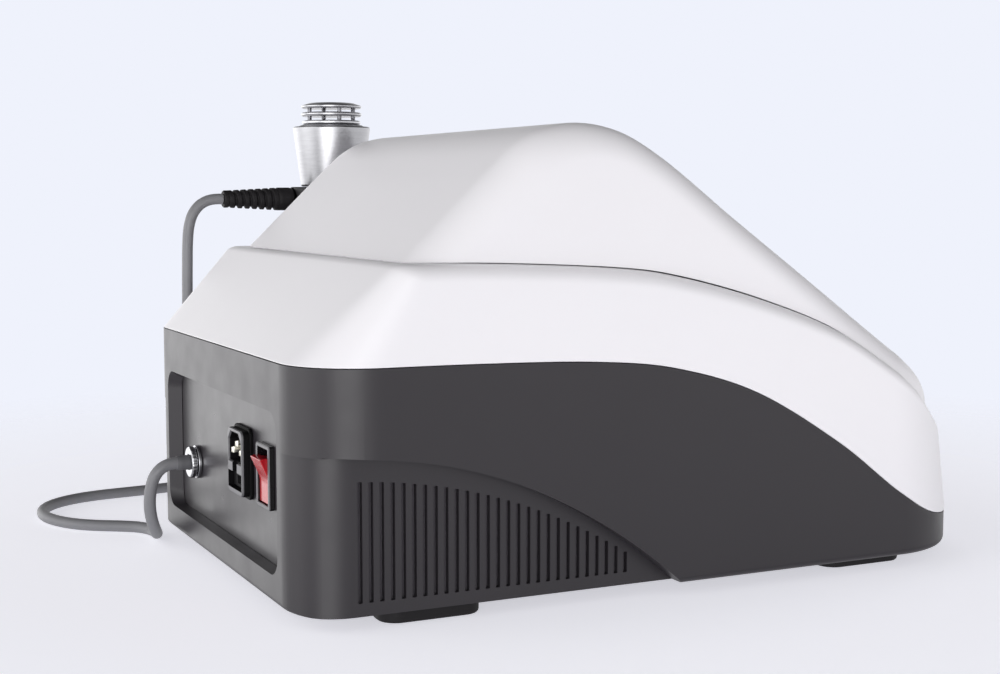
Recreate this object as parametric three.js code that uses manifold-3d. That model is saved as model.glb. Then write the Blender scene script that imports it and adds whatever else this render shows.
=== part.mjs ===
// Desktop ultrasound therapy unit with a palm-held applicator parked in a cup on its side.
// Millimetres, +Z up. The screen side faces -Y, the sockets face +Y, the cup stands on +X.
import * as THREE from "three";
import { mergeVertices } from "three/addons/utils/BufferGeometryUtils.js";
import Module from "manifold-3d";

const wasm = await Module();
wasm.setup();

// ---- driving dimensions -------------------------------------------------------------------
const GAP = 0.3; // clearance between touching pieces
const WALL = 3; // moulded shell thickness

const HALF_WIDTH = 149.25;
const REAR_Y = 205.5;
const FRONT_Y = -203;
const UNDERSIDE_Z = 8; // feet lift the base by this much
const SEAM_REAR_Z = 128; // grey base meets white cover at the rear
const SHOULDER_Z = 175.7; // top edge of the lower white cover
const REAR_RADIUS = 40;
const FRONT_RADIUS = 60;
const TOP_CORNER_RADIUS = 14; // rear corner radius where the slope meets the shoulder
const EDGE_ROUND = 4; // rounding round the underside
const CORNER_STEPS = 8;

const HOOD_INSET = 8; // the hood stands this far inside the lower cover
const HOOD_WALL = 3.5;
const HOOD_EDGE = 16; // rounding of the hood's long side edges
const FLANGE_INSET = 20; // opening through the lower cover's top flange

const RECESS_DEPTH = 12; // vent panel set into each side of the base
const RECESS_END_Y = 1.6;
const RECESS_START_Y = 196;
const RECESS_HEIGHT = 78;
const SLOT_COUNT = 27;
const SLOT_PITCH = 5.58;
const SLOT_WIDTH = 2.3;
const SLOT_FIRST_Y = 175;
const SLOT_BOTTOM_Z = 14.5;

const REAR_WALL = 6.7; // rear wall of the base, deep enough for the connector recess
const WINDOW = { x0: -102, x1: 102, z0: 26, z1: 103.5, radius: 11 };
const PANEL = { front: 198.5, back: 196.5, margin: 6 };

const INLET = { x: -30, z: 68.5, width: 26.6, height: 34.6, face: 204.5, back: 178 };
const CAVITY = { width: 22, height: 15.4, z: 76, floor: 188, cut: 4 };
const DRAWER = { width: 23.4, height: 8.4, z: 58.5, back: 183.5, travel: 22 };
const SWITCH = { x: -69, z: 67, width: 22, height: 32.5, face: 201.5, back: 178 };
const ROCKER = { pivotY: 192.5, halfAngle: 12, width: 16.4, halfHeight: 12, crest: 8 };
const SOCKET = { x: 65, z: 53.5 };

const GRIP = { x: 190, y: 70, top: 213, face: 116.3, outlet: 205 };
const CUP = { radius: 36.5, bore: 33.5, bottom: 112, floor: 4, top: 178 };

const CABLE_RADIUS = 3.5;
const COIL = { x: 226, y: 66, mean: 37, width: 14, height: 14.5 };

// The whole unit is 375.75 wide with its cup; the origin is the middle of that footprint.
const ORIGIN_X = (CUP.radius + GRIP.x - HALF_WIDTH) / 2;
const ORIGIN_Y = (REAR_Y + FRONT_Y) / 2;

// ---- curves ---------------------------------------------------------------------------------
const point = (x, y) => new THREE.Vector2(x, y);
const spline = (pairs, steps) =>
  new THREE.SplineCurve(pairs.map(([a, b]) => point(a, b))).getPoints(steps).map((p) => [p.x, p.y]);

// Height of the grey-to-white seam and of the shoulder along the side, as [y, z].
const SEAM = spline(
  [
    [240, 128], [205.5, 128], [118, 127.5], [52, 125.4], [5.5, 119.7], [-44, 104.4],
    [-97, 74.4], [-138.4, 44.8], [-167, 30.8], [-203, 27], [-240, 27],
  ],
  40,
);
const SHOULDER = spline(
  [
    [240, 175.7], [160, 175.7], [108, 175.3], [38, 171.7], [0, 166.4], [-50, 153.3],
    [-100, 134.5], [-147, 105.5], [-175, 84], [-203, 75], [-240, 72],
  ],
  40,
);
// Side profile of the hood from the foot of its rear slope, over the top, to its front lip.
const HOOD_PROFILE = [
  [163, 162],
  ...spline([[100, 222.5], [87, 234], [75, 240.5], [53, 244.5], [30.5, 241], [6.7, 229]], 14),
  [-85, 165],
  ...spline([[-168, 107], [-180, 97.5], [-187.5, 87], [-189.5, 76]], 6),
  [-189.5, 66],
];

const recessTopAt = (y) =>
  UNDERSIDE_Z + RECESS_HEIGHT * (1 - ((RECESS_START_Y - y) / (RECESS_START_Y - RECESS_END_Y)) ** 2.15);

// ---- solids -----------------------------------------------------------------------------------
// A closed geometry as a manifold, and a manifold as a geometry.
function solid(geometry) {
  const bare = new THREE.BufferGeometry();
  bare.setAttribute("position", geometry.getAttribute("position"));
  if (geometry.index) bare.setIndex(geometry.index);
  const merged = mergeVertices(bare, 1e-4);
  return new wasm.Manifold(
    new wasm.Mesh({
      numProp: 3,
      vertProperties: merged.attributes.position.array,
      triVerts: new Uint32Array(merged.index.array),
    }),
  );
}

function geometryOf(body) {
  const mesh = body.getMesh();
  const geometry = new THREE.BufferGeometry();
  geometry.setAttribute("position", new THREE.BufferAttribute(new Float32Array(mesh.vertProperties), 3));
  geometry.setIndex(new THREE.BufferAttribute(new Uint32Array(mesh.triVerts), 1));
  const flat = geometry.toNonIndexed();
  flat.computeVertexNormals();
  return flat;
}

function block(x0, x1, y0, y1, z0, z1) {
  const geometry = new THREE.BoxGeometry(x1 - x0, y1 - y0, z1 - z0);
  geometry.translate((x0 + x1) / 2, (y0 + y1) / 2, (z0 + z1) / 2);
  return solid(geometry);
}

// Outlines pushed along one axis. The outline is [y, z] for X, [x, z] for Y and [x, y] for Z.
const extruded = (outline, depth, bevel = {}) =>
  new THREE.ExtrudeGeometry(new THREE.Shape(outline.map(([a, b]) => point(a, b))), {
    depth,
    bevelEnabled: false,
    ...bevel,
  });
const basis = (x, y, z) =>
  new THREE.Matrix4().makeBasis(new THREE.Vector3(...x), new THREE.Vector3(...y), new THREE.Vector3(...z));
const ALONG_X = basis([0, 1, 0], [0, 0, 1], [1, 0, 0]);
const ALONG_Y = basis([1, 0, 0], [0, 0, 1], [0, -1, 0]);

function prismX(outline, x0, x1) {
  return solid(extruded(outline, x1 - x0).applyMatrix4(ALONG_X).translate(x0, 0, 0));
}
function prismY(outline, y0, y1) {
  return solid(extruded(outline, y1 - y0).applyMatrix4(ALONG_Y).translate(0, y1, 0));
}
function prismZ(outline, z0, z1) {
  return solid(extruded(outline, z1 - z0).translate(0, 0, z0));
}

// Corners of a rectangle rounded by one radius each: lower two, then upper two, anticlockwise.
function roundedOutline(x0, x1, y0, y1, lower, upper = lower, steps = CORNER_STEPS) {
  const corners = [
    [x1 - lower, y0 + lower, lower, -90],
    [x1 - upper, y1 - upper, upper, 0],
    [x0 + upper, y1 - upper, upper, 90],
    [x0 + lower, y0 + lower, lower, 180],
  ];
  return corners.flatMap(([cx, cy, r, start]) =>
    Array.from({ length: steps + 1 }, (_, i) => {
      const a = THREE.MathUtils.degToRad(start + (90 * i) / steps);
      return [cx + r * Math.cos(a), cy + r * Math.sin(a)];
    }),
  );
}
const centredOutline = (x, z, width, height, radius, steps = 4) =>
  roundedOutline(x - width / 2, x + width / 2, z - height / 2, z + height / 2, radius, radius, steps);

// Rings of equal point count, each a closed loop of [x, y, z], joined into one closed body.
function skin(rings) {
  const count = rings[0].length;
  const positions = rings.flat(2);
  const index = [];
  for (let level = 0; level + 1 < rings.length; level++) {
    for (let i = 0; i < count; i++) {
      const a = level * count + i;
      const b = level * count + ((i + 1) % count);
      index.push(a, b, b + count, a, b + count, a + count);
    }
  }
  const cap = (level, flip) => {
    const middle = positions.length / 3;
    for (let k = 0; k < 3; k++) positions.push(rings[level].reduce((sum, p) => sum + p[k], 0) / count);
    for (let i = 0; i < count; i++) {
      const a = level * count + i;
      const b = level * count + ((i + 1) % count);
      index.push(...(flip ? [middle, b, a] : [middle, a, b]));
    }
  };
  cap(0, true);
  cap(rings.length - 1, false);
  const geometry = new THREE.BufferGeometry();
  geometry.setAttribute("position", new THREE.Float32BufferAttribute(positions, 3));
  geometry.setIndex(index);
  return solid(geometry);
}
// The same from level outlines, each being {z, outline} with the outline anticlockwise in [x, y].
const stack = (rings) => skin(rings.map(({ z, outline }) => outline.map(([x, y]) => [x, y, z])));

// A turned body about +Z (or +Y) through a point, from [radius, height] pairs.
function turned(profile, segments, { x = 0, y = 0, z = 0 }, axis = "z") {
  const geometry = new THREE.LatheGeometry(
    profile.map(([r, h]) => point(r, h)),
    segments,
  );
  if (axis === "z") geometry.rotateX(Math.PI / 2);
  return solid(geometry.translate(x, y, z));
}
const rod = (radius, from, to, segments, place, axis) =>
  turned([[0, from], [radius, from], [radius, to], [0, to]], segments, place, axis);
const tube = (outer, inner, from, to, segments, place, axis) =>
  turned(
    [[inner, from], [outer, from], [outer, to], [inner, to], [inner, from]],
    segments,
    place,
    axis,
  );

const joined = (bodies) => bodies.reduce((whole, next) => whole.add(next));
const mirrored = (body) => body.mirror([1, 0, 0]);

// ---- housing sections ---------------------------------------------------------------------------
// Level section of the base and lower cover: a rectangle with rounded ends, whose rear face leans
// forward above the seam and whose front face leans back a little.
function sectionAt(z, inset = 0, rearInset = inset) {
  const slope = Math.max(0, z - SEAM_REAR_Z);
  const rear = REAR_Y - 1.02 * slope - rearInset;
  const front = FRONT_Y + 0.135 * Math.max(0, Math.min(z, 110) - 30) + inset;
  const taper = slope / (SHOULDER_Z - SEAM_REAR_Z);
  const rearRadius = THREE.MathUtils.lerp(REAR_RADIUS, TOP_CORNER_RADIUS, Math.min(1, taper)) - inset;
  const half = HALF_WIDTH - inset;
  return roundedOutline(-half, half, front, rear, FRONT_RADIUS - inset, Math.max(rearRadius, 4));
}
const sections = (levels, rearExtra = 0) =>
  stack(levels.map(([z, inset]) => ({ z, outline: sectionAt(z, inset, inset + rearExtra) })));

const reach = 175; // half width of every cutter that spans the housing
const below = (curve, drop, low = -40) =>
  prismX([...curve.map(([y, z]) => [y, z - drop]).reverse(), [240, low], [-240, low]].reverse(), -reach, reach);
const above = (curve, lift, high = 300) =>
  prismX([...curve.map(([y, z]) => [y, z + lift]), [-240, high], [240, high]], -reach, reach);
const topPlan = (inset) =>
  roundedOutline(
    -HALF_WIDTH + inset,
    HALF_WIDTH - inset,
    FRONT_Y + 6 + inset,
    REAR_Y - 49 - Math.max(0, inset - HOOD_INSET),
    FRONT_RADIUS - inset,
    TOP_CORNER_RADIUS,
  );

const screwSites = [
  [-128, 138],
  [128, 138],
  [128, -62],
  [-128, -62],
];

// ---- parts --------------------------------------------------------------------------------------
const finish = (color, roughness, metalness = 0) => ({ color, roughness, metalness });
const LOOKS = {
  greyPlastic: finish(0x454346, 0.38),
  whitePlastic: finish(0xeceaed, 0.3),
  panelGrey: finish(0x6b696c, 0.32),
  blackPlastic: finish(0x111112, 0.35),
  rubber: finish(0x19191a, 0.7),
  redPlastic: finish(0x96101b, 0.15),
  glass: finish(0x08090b, 0.05),
  chrome: finish(0xd8d8da, 0.12, 1),
  aluminium: finish(0xc9cacd, 0.3, 1),
  steel: finish(0x9fa1a4, 0.35, 1),
  brass: finish(0xb89b55, 0.3, 1),
  cable: finish(0x6f7072, 0.5),
  board: finish(0x1f5a34, 0.6),
  ceramic: finish(0xe6e0d0, 0.5),
  ferrite: finish(0x3a3634, 0.6),
};

const device = new THREE.Group();
const unit = new THREE.Group();
unit.position.set(-ORIGIN_X, -ORIGIN_Y, 0);
device.add(unit);

function add(name, body, look) {
  const mesh = new THREE.Mesh(geometryOf(body), new THREE.MeshStandardMaterial(LOOKS[look]));
  mesh.name = name;
  unit.add(mesh);
}

// Vent panels: a curved-top recess in each side of the base, and the slots through it.
const ventPlaneX = -HALF_WIDTH + RECESS_DEPTH;
function ventRecess(grow) {
  const steps = 14;
  const arch = Array.from({ length: steps + 1 }, (_, i) => {
    const y = RECESS_END_Y + ((RECESS_START_Y - RECESS_END_Y) * i) / steps;
    return [y - (i === 0 ? grow : 0), recessTopAt(y) + grow];
  });
  return prismX(
    [[RECESS_END_Y - grow, -10], [RECESS_START_Y + 40, -10], [RECESS_START_Y + 40, arch.at(-1)[1]], ...arch.reverse()],
    -reach,
    ventPlaneX + grow,
  );
}
function ventSlots() {
  return Array.from({ length: SLOT_COUNT }, (_, i) => {
    const y = SLOT_FIRST_Y - SLOT_PITCH * i;
    const top = 0.87 * (recessTopAt(y) - UNDERSIDE_Z) + 5.8;
    const half = SLOT_WIDTH / 2;
    return block(ventPlaneX - 4, ventPlaneX + WALL + 2, y - half, y + half, SLOT_BOTTOM_Z, top);
  });
}

function baseHousing() {
  const bottom = UNDERSIDE_Z;
  const outer = sections([
    [bottom, EDGE_ROUND],
    [bottom + 1.2, EDGE_ROUND * 0.3],
    [bottom + EDGE_ROUND, 0],
    [30, 0],
    [80, 0],
    [SEAM_REAR_Z, 0],
  ]);
  const floorZ = bottom + WALL;
  const hollow = sections(
    [
      [floorZ, WALL + 1],
      [floorZ + 2, WALL],
      [80, WALL],
      [SEAM_REAR_Z, WALL],
      [SEAM_REAR_Z + 6, WALL],
    ],
    REAR_WALL - WALL,
  );
  let ventWall = ventRecess(WALL);
  ventWall = ventWall.add(mirrored(ventWall));
  let body = outer.subtract(hollow.subtract(ventWall));
  const recess = ventRecess(0);
  body = body.subtract(recess).subtract(mirrored(recess)).intersect(below(SEAM, GAP));
  const window = prismY(
    roundedOutline(WINDOW.x0, WINDOW.x1, WINDOW.z0, WINDOW.z1, WINDOW.radius),
    PANEL.front - 2,
    REAR_Y + 5,
  );
  body = body.subtract(window);
  const slots = ventSlots();
  for (const slot of slots) body = body.subtract(slot).subtract(mirrored(slot));
  // Screw bosses with a countersunk pocket under each.
  for (const [x, y] of screwSites) {
    const at = { x, y };
    body = body
      .add(rod(6, floorZ - 1, 16, 16, at))
      .subtract(rod(3.6, bottom - 1, 12, 16, at))
      .subtract(rod(1.8, 11, 17, 12, at));
  }
  // Pillars that carry the two circuit boards.
  const pillars = [...boardSites(MAIN_BOARD), ...boardSites(DRIVER_BOARD)];
  return body.add(joined(pillars.map(([x, y]) => rod(3, floorZ - 0.5, MAIN_BOARD.z - GAP, 8, { x, y }))));
}

function midCover() {
  const outer = sections([
    [20, 0],
    [60, 0],
    [110, 0],
    [SEAM_REAR_Z, 0],
    [140, 0],
    [152, 0],
    [164, 0],
    [SHOULDER_Z + 2, 0],
  ]);
  const hollow = sections(
    [
      [10, WALL],
      [60, WALL],
      [SEAM_REAR_Z - 1, WALL],
      [140, WALL],
      [SHOULDER_Z + 2, WALL],
    ],
    1.3,
  ).intersect(below(SHOULDER, WALL));
  const opening = prismZ(topPlan(FLANGE_INSET), 0, 200);
  let body = outer.intersect(above(SEAM, 0)).intersect(below(SHOULDER, 0)).subtract(hollow).subtract(opening);
  for (const [x, y] of screwSites) {
    const top = y > 0 ? SHOULDER_Z - 1 : 148;
    body = body.add(rod(5, 16 + GAP, top, 12, { x, y })).subtract(rod(1.6, 10, 44, 10, { x, y }));
  }
  return body;
}

// The hood follows its side profile, with rounded long edges dropping to upright sides, and is
// trimmed to the plan of the lower cover.
function hoodBody(thinner) {
  const edge = HOOD_EDGE - thinner;
  const half = HALF_WIDTH - HOOD_INSET - thinner;
  const steps = 5;
  const rings = HOOD_PROFILE.map(([y, z], i) => {
    const [y0, z0] = HOOD_PROFILE[Math.max(i - 1, 0)];
    const [y1, z1] = HOOD_PROFILE[Math.min(i + 1, HOOD_PROFILE.length - 1)];
    const length = Math.hypot(y1 - y0, z1 - z0);
    const normal = [(z1 - z0) / length, -(y1 - y0) / length];
    const centre = [y - normal[0] * HOOD_EDGE, z - normal[1] * HOOD_EDGE];
    const arc = Array.from({ length: steps + 1 }, (_, k) => {
      const a = (Math.PI / 2) * (1 - k / steps);
      return [half - edge + edge * Math.sin(a), edge * Math.cos(a)];
    });
    const at = (x, out) => [x, centre[0] + normal[0] * out, centre[1] + normal[1] * out];
    return [
      [half, centre[0], 30],
      ...arc.map(([x, out]) => at(x, out)),
      ...arc.reverse().map(([x, out]) => at(-x, out)),
      [-half, centre[0], 30],
    ];
  });
  return skin(rings).intersect(prismZ(topPlan(HOOD_INSET + thinner), 0, 300));
}

// Screen frame on the hood's front slope: X across, Y up the slope, Z out of the glass.
const SLOPE = { y: -84.6, z: 165.2, angle: Math.atan2(127.5, 182.7) };
const slopeMatrix = basis(
  [1, 0, 0],
  [0, Math.cos(SLOPE.angle), Math.sin(SLOPE.angle)],
  [0, -Math.sin(SLOPE.angle), Math.cos(SLOPE.angle)],
).setPosition(0, SLOPE.y, SLOPE.z);
const onSlope = (width, height, radius, z0, z1) =>
  solid(
    extruded(centredOutline(0, 0, width, height, radius), z1 - z0)
      .translate(0, 0, z0)
      .applyMatrix4(slopeMatrix),
  );
const GLASS = { width: 228, height: 168, thickness: 1.8 };

function topCover() {
  return hoodBody(0)
    .subtract(hoodBody(HOOD_WALL))
    .intersect(above(SHOULDER, GAP))
    .subtract(onSlope(GLASS.width + 0.6, GLASS.height + 0.6, 6.3, -2.1, 6))
    .subtract(onSlope(208, 156, 3, -12, 6));
}

function boardSites({ x, y, width, depth }) {
  const half = [width / 2 - 6, depth / 2 - 6];
  return [[-1, -1], [1, -1], [1, 1], [-1, 1]].map(([a, b]) => [x + a * half[0], y + b * half[1]]);
}
const MAIN_BOARD = { x: 0, y: -70, z: 20, width: 150, depth: 90 };
const DRIVER_BOARD = { x: 42, y: 95, z: 20, width: 110, depth: 120 };

function circuitBoard({ x, y, z, width, depth }, chips) {
  const plate = block(x - width / 2, x + width / 2, y - depth / 2, y + depth / 2, z, z + 1.6);
  return joined([
    plate,
    ...chips.map(([cx, cy, w, d, h]) => block(x + cx, x + cx + w, y + cy, y + cy + d, z + 1, z + 1.6 + h)),
  ]);
}

function rearPanel() {
  const m = PANEL.margin;
  const plate = prismY(
    roundedOutline(WINDOW.x0 - m, WINDOW.x1 + m, WINDOW.z0 - m, WINDOW.z1 + m, 4, 4, 2),
    PANEL.back,
    PANEL.front,
  );
  const cut = (x, z, width, height) =>
    block(x - width / 2, x + width / 2, PANEL.back - 2, PANEL.front + 2, z - height / 2, z + height / 2);
  return plate
    .subtract(cut(INLET.x, INLET.z, 25, 33))
    .subtract(cut(SWITCH.x, SWITCH.z, 20, 30))
    .subtract(rod(6.6, PANEL.back - 2, PANEL.front + 2, 20, { x: SOCKET.x, z: SOCKET.z }, "y"));
}

// Mains inlet with a fuse drawer under the three-pin cavity.
function inletBody() {
  const { x, z, width, height, face, back } = INLET;
  const flange = prismY(centredOutline(x, z, width + 3, height + 3, 4), PANEL.front + GAP, PANEL.front + 1.8);
  const front = prismY(centredOutline(x, z, width, height, 3), PANEL.front + 1, face);
  const rear = block(x - 12.2, x + 12.2, back, PANEL.front + 1, z - 16.2, z + 16.2);
  const halfW = CAVITY.width / 2;
  const halfH = CAVITY.height / 2;
  const cavity = prismY(
    [
      [x - halfW, CAVITY.z - halfH],
      [x + halfW, CAVITY.z - halfH],
      [x + halfW, CAVITY.z + halfH - CAVITY.cut],
      [x + halfW - CAVITY.cut, CAVITY.z + halfH],
      [x - halfW + CAVITY.cut, CAVITY.z + halfH],
      [x - halfW, CAVITY.z + halfH - CAVITY.cut],
    ],
    CAVITY.floor,
    face + 2,
  );
  const pocket = block(
    x - DRAWER.width / 2 - GAP,
    x + DRAWER.width / 2 + GAP,
    DRAWER.back - GAP,
    face + 2,
    DRAWER.z - DRAWER.height / 2 - GAP,
    DRAWER.z + DRAWER.height / 2 + GAP,
  );
  return joined([flange, front, rear]).subtract(cavity).subtract(pocket);
}

function fuseDrawer() {
  const { width, height, z, back } = DRAWER;
  const x = INLET.x;
  const body = block(x - width / 2, x + width / 2, back, INLET.face - 0.8, z - height / 2, z + height / 2);
  const tray = block(x - 10.6, x + 10.6, back + 2, back + 9, z - 3.2, z + height);
  const notch = block(x - 4, x + 4, INLET.face - 2.6, INLET.face + 1, z - 2, z + 2);
  return body.subtract(tray).subtract(notch);
}

function switchBezel() {
  const { x, z, width, height, face, back } = SWITCH;
  const flange = prismY(centredOutline(x, z, width, height, 1.2, 2), PANEL.front + GAP, face);
  const rear = block(x - 9.6, x + 9.6, back, face - 1, z - 14.6, z + 14.6);
  const pocket = block(x - 8.6, x + 8.6, back + 2, face + 2, z - 14.3, z + 14.3);
  return flange.add(rear).subtract(pocket);
}

// The rocker is a shallow V about its pivot, tipped so that its lower half is pressed in.
function rocker() {
  const { pivotY, halfAngle, width, halfHeight, crest } = ROCKER;
  const tip = THREE.MathUtils.degToRad(halfAngle);
  const rise = crest + halfHeight * Math.tan(tip);
  const turn = ([y, z]) => [
    pivotY + y * Math.cos(tip) + z * Math.sin(tip),
    SWITCH.z + z * Math.cos(tip) - y * Math.sin(tip),
  ];
  const outline = [
    [-6, -6], [rise - 3, -halfHeight], [rise, -halfHeight], [crest, 0],
    [rise, halfHeight], [rise - 3, halfHeight], [-6, 6],
  ].map(turn);
  return prismX(outline, SWITCH.x - width / 2, SWITCH.x + width / 2);
}

// ---- housing ------------------------------------------------------------------------------------
add("base_housing", baseHousing(), "greyPlastic");
add("mid_cover", midCover(), "whitePlastic");
add("top_cover", topCover(), "whitePlastic");
add("touch_glass", onSlope(GLASS.width, GLASS.height, 6, -1.8, 0), "glass");
add("display_module", onSlope(206, 154, 2, -11, -2.4), "blackPlastic");
add("rear_panel", rearPanel(), "panelGrey");

const feet = [
  ["foot_rear_left", -118, 133],
  ["foot_rear_right", 118, 133],
  ["foot_front_right", 118, -132],
  ["foot_front_left", -118, -132],
];
for (const [name, x, y] of feet) {
  const outline = (inset) => roundedOutline(x - 12 + inset, x + 12 - inset, y - 27 + inset, y + 27 - inset, 10, 10, 4);
  add(
    name,
    stack([
      { z: 0, outline: outline(1.5) },
      { z: 1.5, outline: outline(0) },
      { z: UNDERSIDE_Z - GAP, outline: outline(0) },
    ]),
    "rubber",
  );
}
screwSites.forEach(([x, y], i) => {
  const profile = [[0, 9], [3, 9], [3, 11.7], [1.3, 11.7], [1.3, 34], [0, 34]];
  add(`base_screw_${i + 1}`, turned(profile, 10, { x, y }), "steel");
});

// ---- electronics inside -------------------------------------------------------------------------
add(
  "main_board",
  circuitBoard(MAIN_BOARD, [[-60, -30, 22, 22, 2.4], [-20, -25, 30, 12, 8], [25, -5, 18, 18, 3], [48, -35, 12, 60, 6]]),
  "board",
);
add(
  "driver_board",
  circuitBoard(DRIVER_BOARD, [[-45, -50, 18, 10, 20], [-20, -50, 12, 12, 16], [30, -48, 16, 40, 7]]),
  "board",
);
const fins = Array.from({ length: 7 }, (_, i) => block(0, 46, 95 + i * 6, 97 + i * 6, 27, 56));
add("heatsink", joined([block(0, 46, 95, 133, 22, 28), ...fins]), "aluminium");
add(
  "output_transformer",
  block(56, 86, 96, 126, 22, 50).subtract(block(62, 66, 90, 130, 28, 44)).subtract(block(76, 80, 90, 130, 28, 44)),
  "ferrite",
);
add("power_supply", block(-92, -22, 66, 166, 11.6, 52).subtract(block(-89, -25, 69, 163, 45, 60)), "steel");

// Cooling fan behind the vent slots of the -X side, turning about X.
const FAN = { x: -118, y: 96, z: 43, half: 30, radius: 27.5 };
function fanFrame() {
  const { x, y, z, half, radius } = FAN;
  const at = (r, from, to) =>
    solid(new THREE.CylinderGeometry(r, r, to - from, 28).rotateZ(Math.PI / 2).translate((from + to) / 2, y, z));
  const frame = block(x - 8, x + 8, y - half, y + half, z - half, z + half).subtract(at(radius, x - 10, x + 10));
  const strut = (angle) =>
    solid(
      new THREE.BoxGeometry(2, 4, 2 * radius + 2)
        .rotateX(angle)
        .translate(x + 7, y, z),
    );
  return joined([frame, strut(Math.PI / 4), strut(-Math.PI / 4), at(10, x + 5, x + 8)]);
}
add("fan_frame", fanFrame(), "blackPlastic");
function fanRotor() {
  const { x, y, z } = FAN;
  const hub = solid(new THREE.CylinderGeometry(9, 9, 10, 20).rotateZ(Math.PI / 2).translate(x - 1.5, y, z));
  const blades = Array.from({ length: 7 }, (_, i) =>
    solid(
      new THREE.BoxGeometry(8, 1.6, 18)
        .rotateZ(0.5)
        .translate(0, 0, 17)
        .rotateX((2 * Math.PI * i) / 7)
        .translate(x - 1.8, y, z),
    ),
  );
  return joined([hub, ...blades]);
}
add("fan_rotor", fanRotor(), "blackPlastic");

// ---- sockets and switch on the rear panel -------------------------------------------------------
add("inlet_body", inletBody(), "blackPlastic");
const pins = [
  ["inlet_pin_earth", 0, 2],
  ["inlet_pin_line", -7, -2],
  ["inlet_pin_neutral", 7, -2],
];
for (const [name, dx, dz] of pins) {
  const x = INLET.x + dx;
  const z = CAVITY.z + dz;
  add(name, block(x - 1, x + 1, CAVITY.floor + GAP, 201.5, z - 2, z + 2), "chrome");
}
add("fuse_drawer", fuseDrawer(), "blackPlastic");
const fuseSpot = { x: INLET.x, y: DRAWER.back + 5.5, z: DRAWER.z };
add(
  "fuse",
  solid(new THREE.CylinderGeometry(2.5, 2.5, 20, 12).rotateZ(Math.PI / 2).translate(fuseSpot.x, fuseSpot.y, fuseSpot.z)),
  "ceramic",
);
add("switch_bezel", switchBezel(), "blackPlastic");
add("power_rocker", rocker(), "redPlastic");

const socketSpot = { x: SOCKET.x, z: SOCKET.z };
add(
  "panel_socket",
  turned(
    [[0, 184], [6.2, 184], [6.2, 198.8], [9.6, 198.8], [9.6, 200.6], [6, 201], [6, 203.6], [0, 203.6]],
    24,
    socketSpot,
    "y",
  ),
  "chrome",
);
add(
  "socket_nut",
  rod(8.6, 192.6, 196.2, 6, socketSpot, "y").subtract(rod(6.5, 192, 197, 24, socketSpot, "y")),
  "steel",
);
add(
  "coupling_ring",
  turned(
    [[6.4, 201.4], [7.6, 201.4], [8.9, 202.6], [8.9, 207], [8, 208.2], [6.4, 208.2], [6.4, 201.4]],
    28,
    socketSpot,
    "y",
  ),
  "chrome",
);
add("cable_plug", turned([[0, 203.9], [6, 203.9], [6, 208.6], [4.6, 210.4], [0, 210.4]], 20, socketSpot, "y"), "rubber");

// ---- applicator cup -------------------------------------------------------------------------------
const cupSpot = { x: GRIP.x, y: GRIP.y };
function applicatorHolder() {
  const wallX = HALF_WIDTH + GAP;
  const cup = tube(CUP.radius, CUP.bore, CUP.bottom, CUP.top, 32, cupSpot)
    .add(rod(CUP.radius - 1, CUP.bottom, CUP.bottom + CUP.floor, 32, cupSpot));
  const plate = prismX(roundedOutline(GRIP.y - 32, GRIP.y + 32, 132, 172, 6, 6, 3), wallX, wallX + 4);
  const arm = block(wallX + 2, GRIP.x - CUP.bore - 1, GRIP.y - 14, GRIP.y + 14, 136, 168);
  let body = joined([cup, plate, arm]).subtract(rod(CUP.bore, CUP.bottom + CUP.floor, 200, 32, cupSpot));
  for (const y of [-25, 25]) {
    const hole = new THREE.CylinderGeometry(2.2, 2.2, 20, 12).rotateZ(Math.PI / 2).translate(wallX, GRIP.y + y, 152);
    body = body.subtract(solid(hole));
  }
  return body;
}
add("applicator_holder", applicatorHolder(), "greyPlastic");
[-25, 25].forEach((y, i) => {
  const head = new THREE.CylinderGeometry(3.6, 3.6, 2.4, 14).rotateZ(Math.PI / 2);
  head.translate(HALF_WIDTH + 5.8, GRIP.y + y, 152);
  const shank = new THREE.CylinderGeometry(1.8, 1.8, 5, 10).rotateZ(Math.PI / 2);
  shank.translate(HALF_WIDTH + 2.7, GRIP.y + y, 152);
  add(`holder_screw_${i + 1}`, solid(head).add(solid(shank)), "steel");
});

// ---- applicator, standing on its treatment face ---------------------------------------------------
const faceTop = GRIP.face + 6;
add(
  "treatment_face",
  turned([[0, GRIP.face], [28.5, GRIP.face], [30.5, GRIP.face + 2], [30.5, faceTop], [0, faceTop]], 32, cupSpot),
  "aluminium",
);
add("piezo_disc", rod(20, faceTop + GAP, faceTop + 3, 24, cupSpot), "ceramic");
add(
  "grip_shell",
  turned(
    [
      [27.5, faceTop + GAP], [31, faceTop + GAP], [31, 146], [30, 153], [28.5, 160], [28.5, GRIP.top - 1],
      [27.5, GRIP.top], [8, GRIP.top], [8, GRIP.top - 4], [25, GRIP.top - 4], [25, 160], [27.5, 146],
      [27.5, faceTop + GAP],
    ],
    32,
    cupSpot,
  ).subtract(rod(4, GRIP.y + 20, GRIP.y + 40, 12, { x: GRIP.x, z: GRIP.outlet }, "y")),
  "blackPlastic",
);
function strainRelief() {
  const ribs = 7;
  const start = 99;
  const ribStart = 109;
  const end = 146;
  const outline = [[0, start], [7.6, start], [7.6, ribStart - 1.5]];
  const pitch = (end - ribStart) / ribs;
  for (let i = 0; i < ribs; i++) {
    const y = ribStart + i * pitch;
    const r = THREE.MathUtils.lerp(7.3, 5.45, i / (ribs - 1));
    outline.push([r - 1.3, y], [r - 1.3, y + pitch * 0.4], [r, y + pitch * 0.45], [r, y + pitch * 0.9]);
  }
  outline.push([5.4, end], [0, end]);
  return turned(outline, 20, { x: GRIP.x, z: GRIP.outlet }, "y");
}
add("strain_relief", strainRelief(), "rubber");
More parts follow.
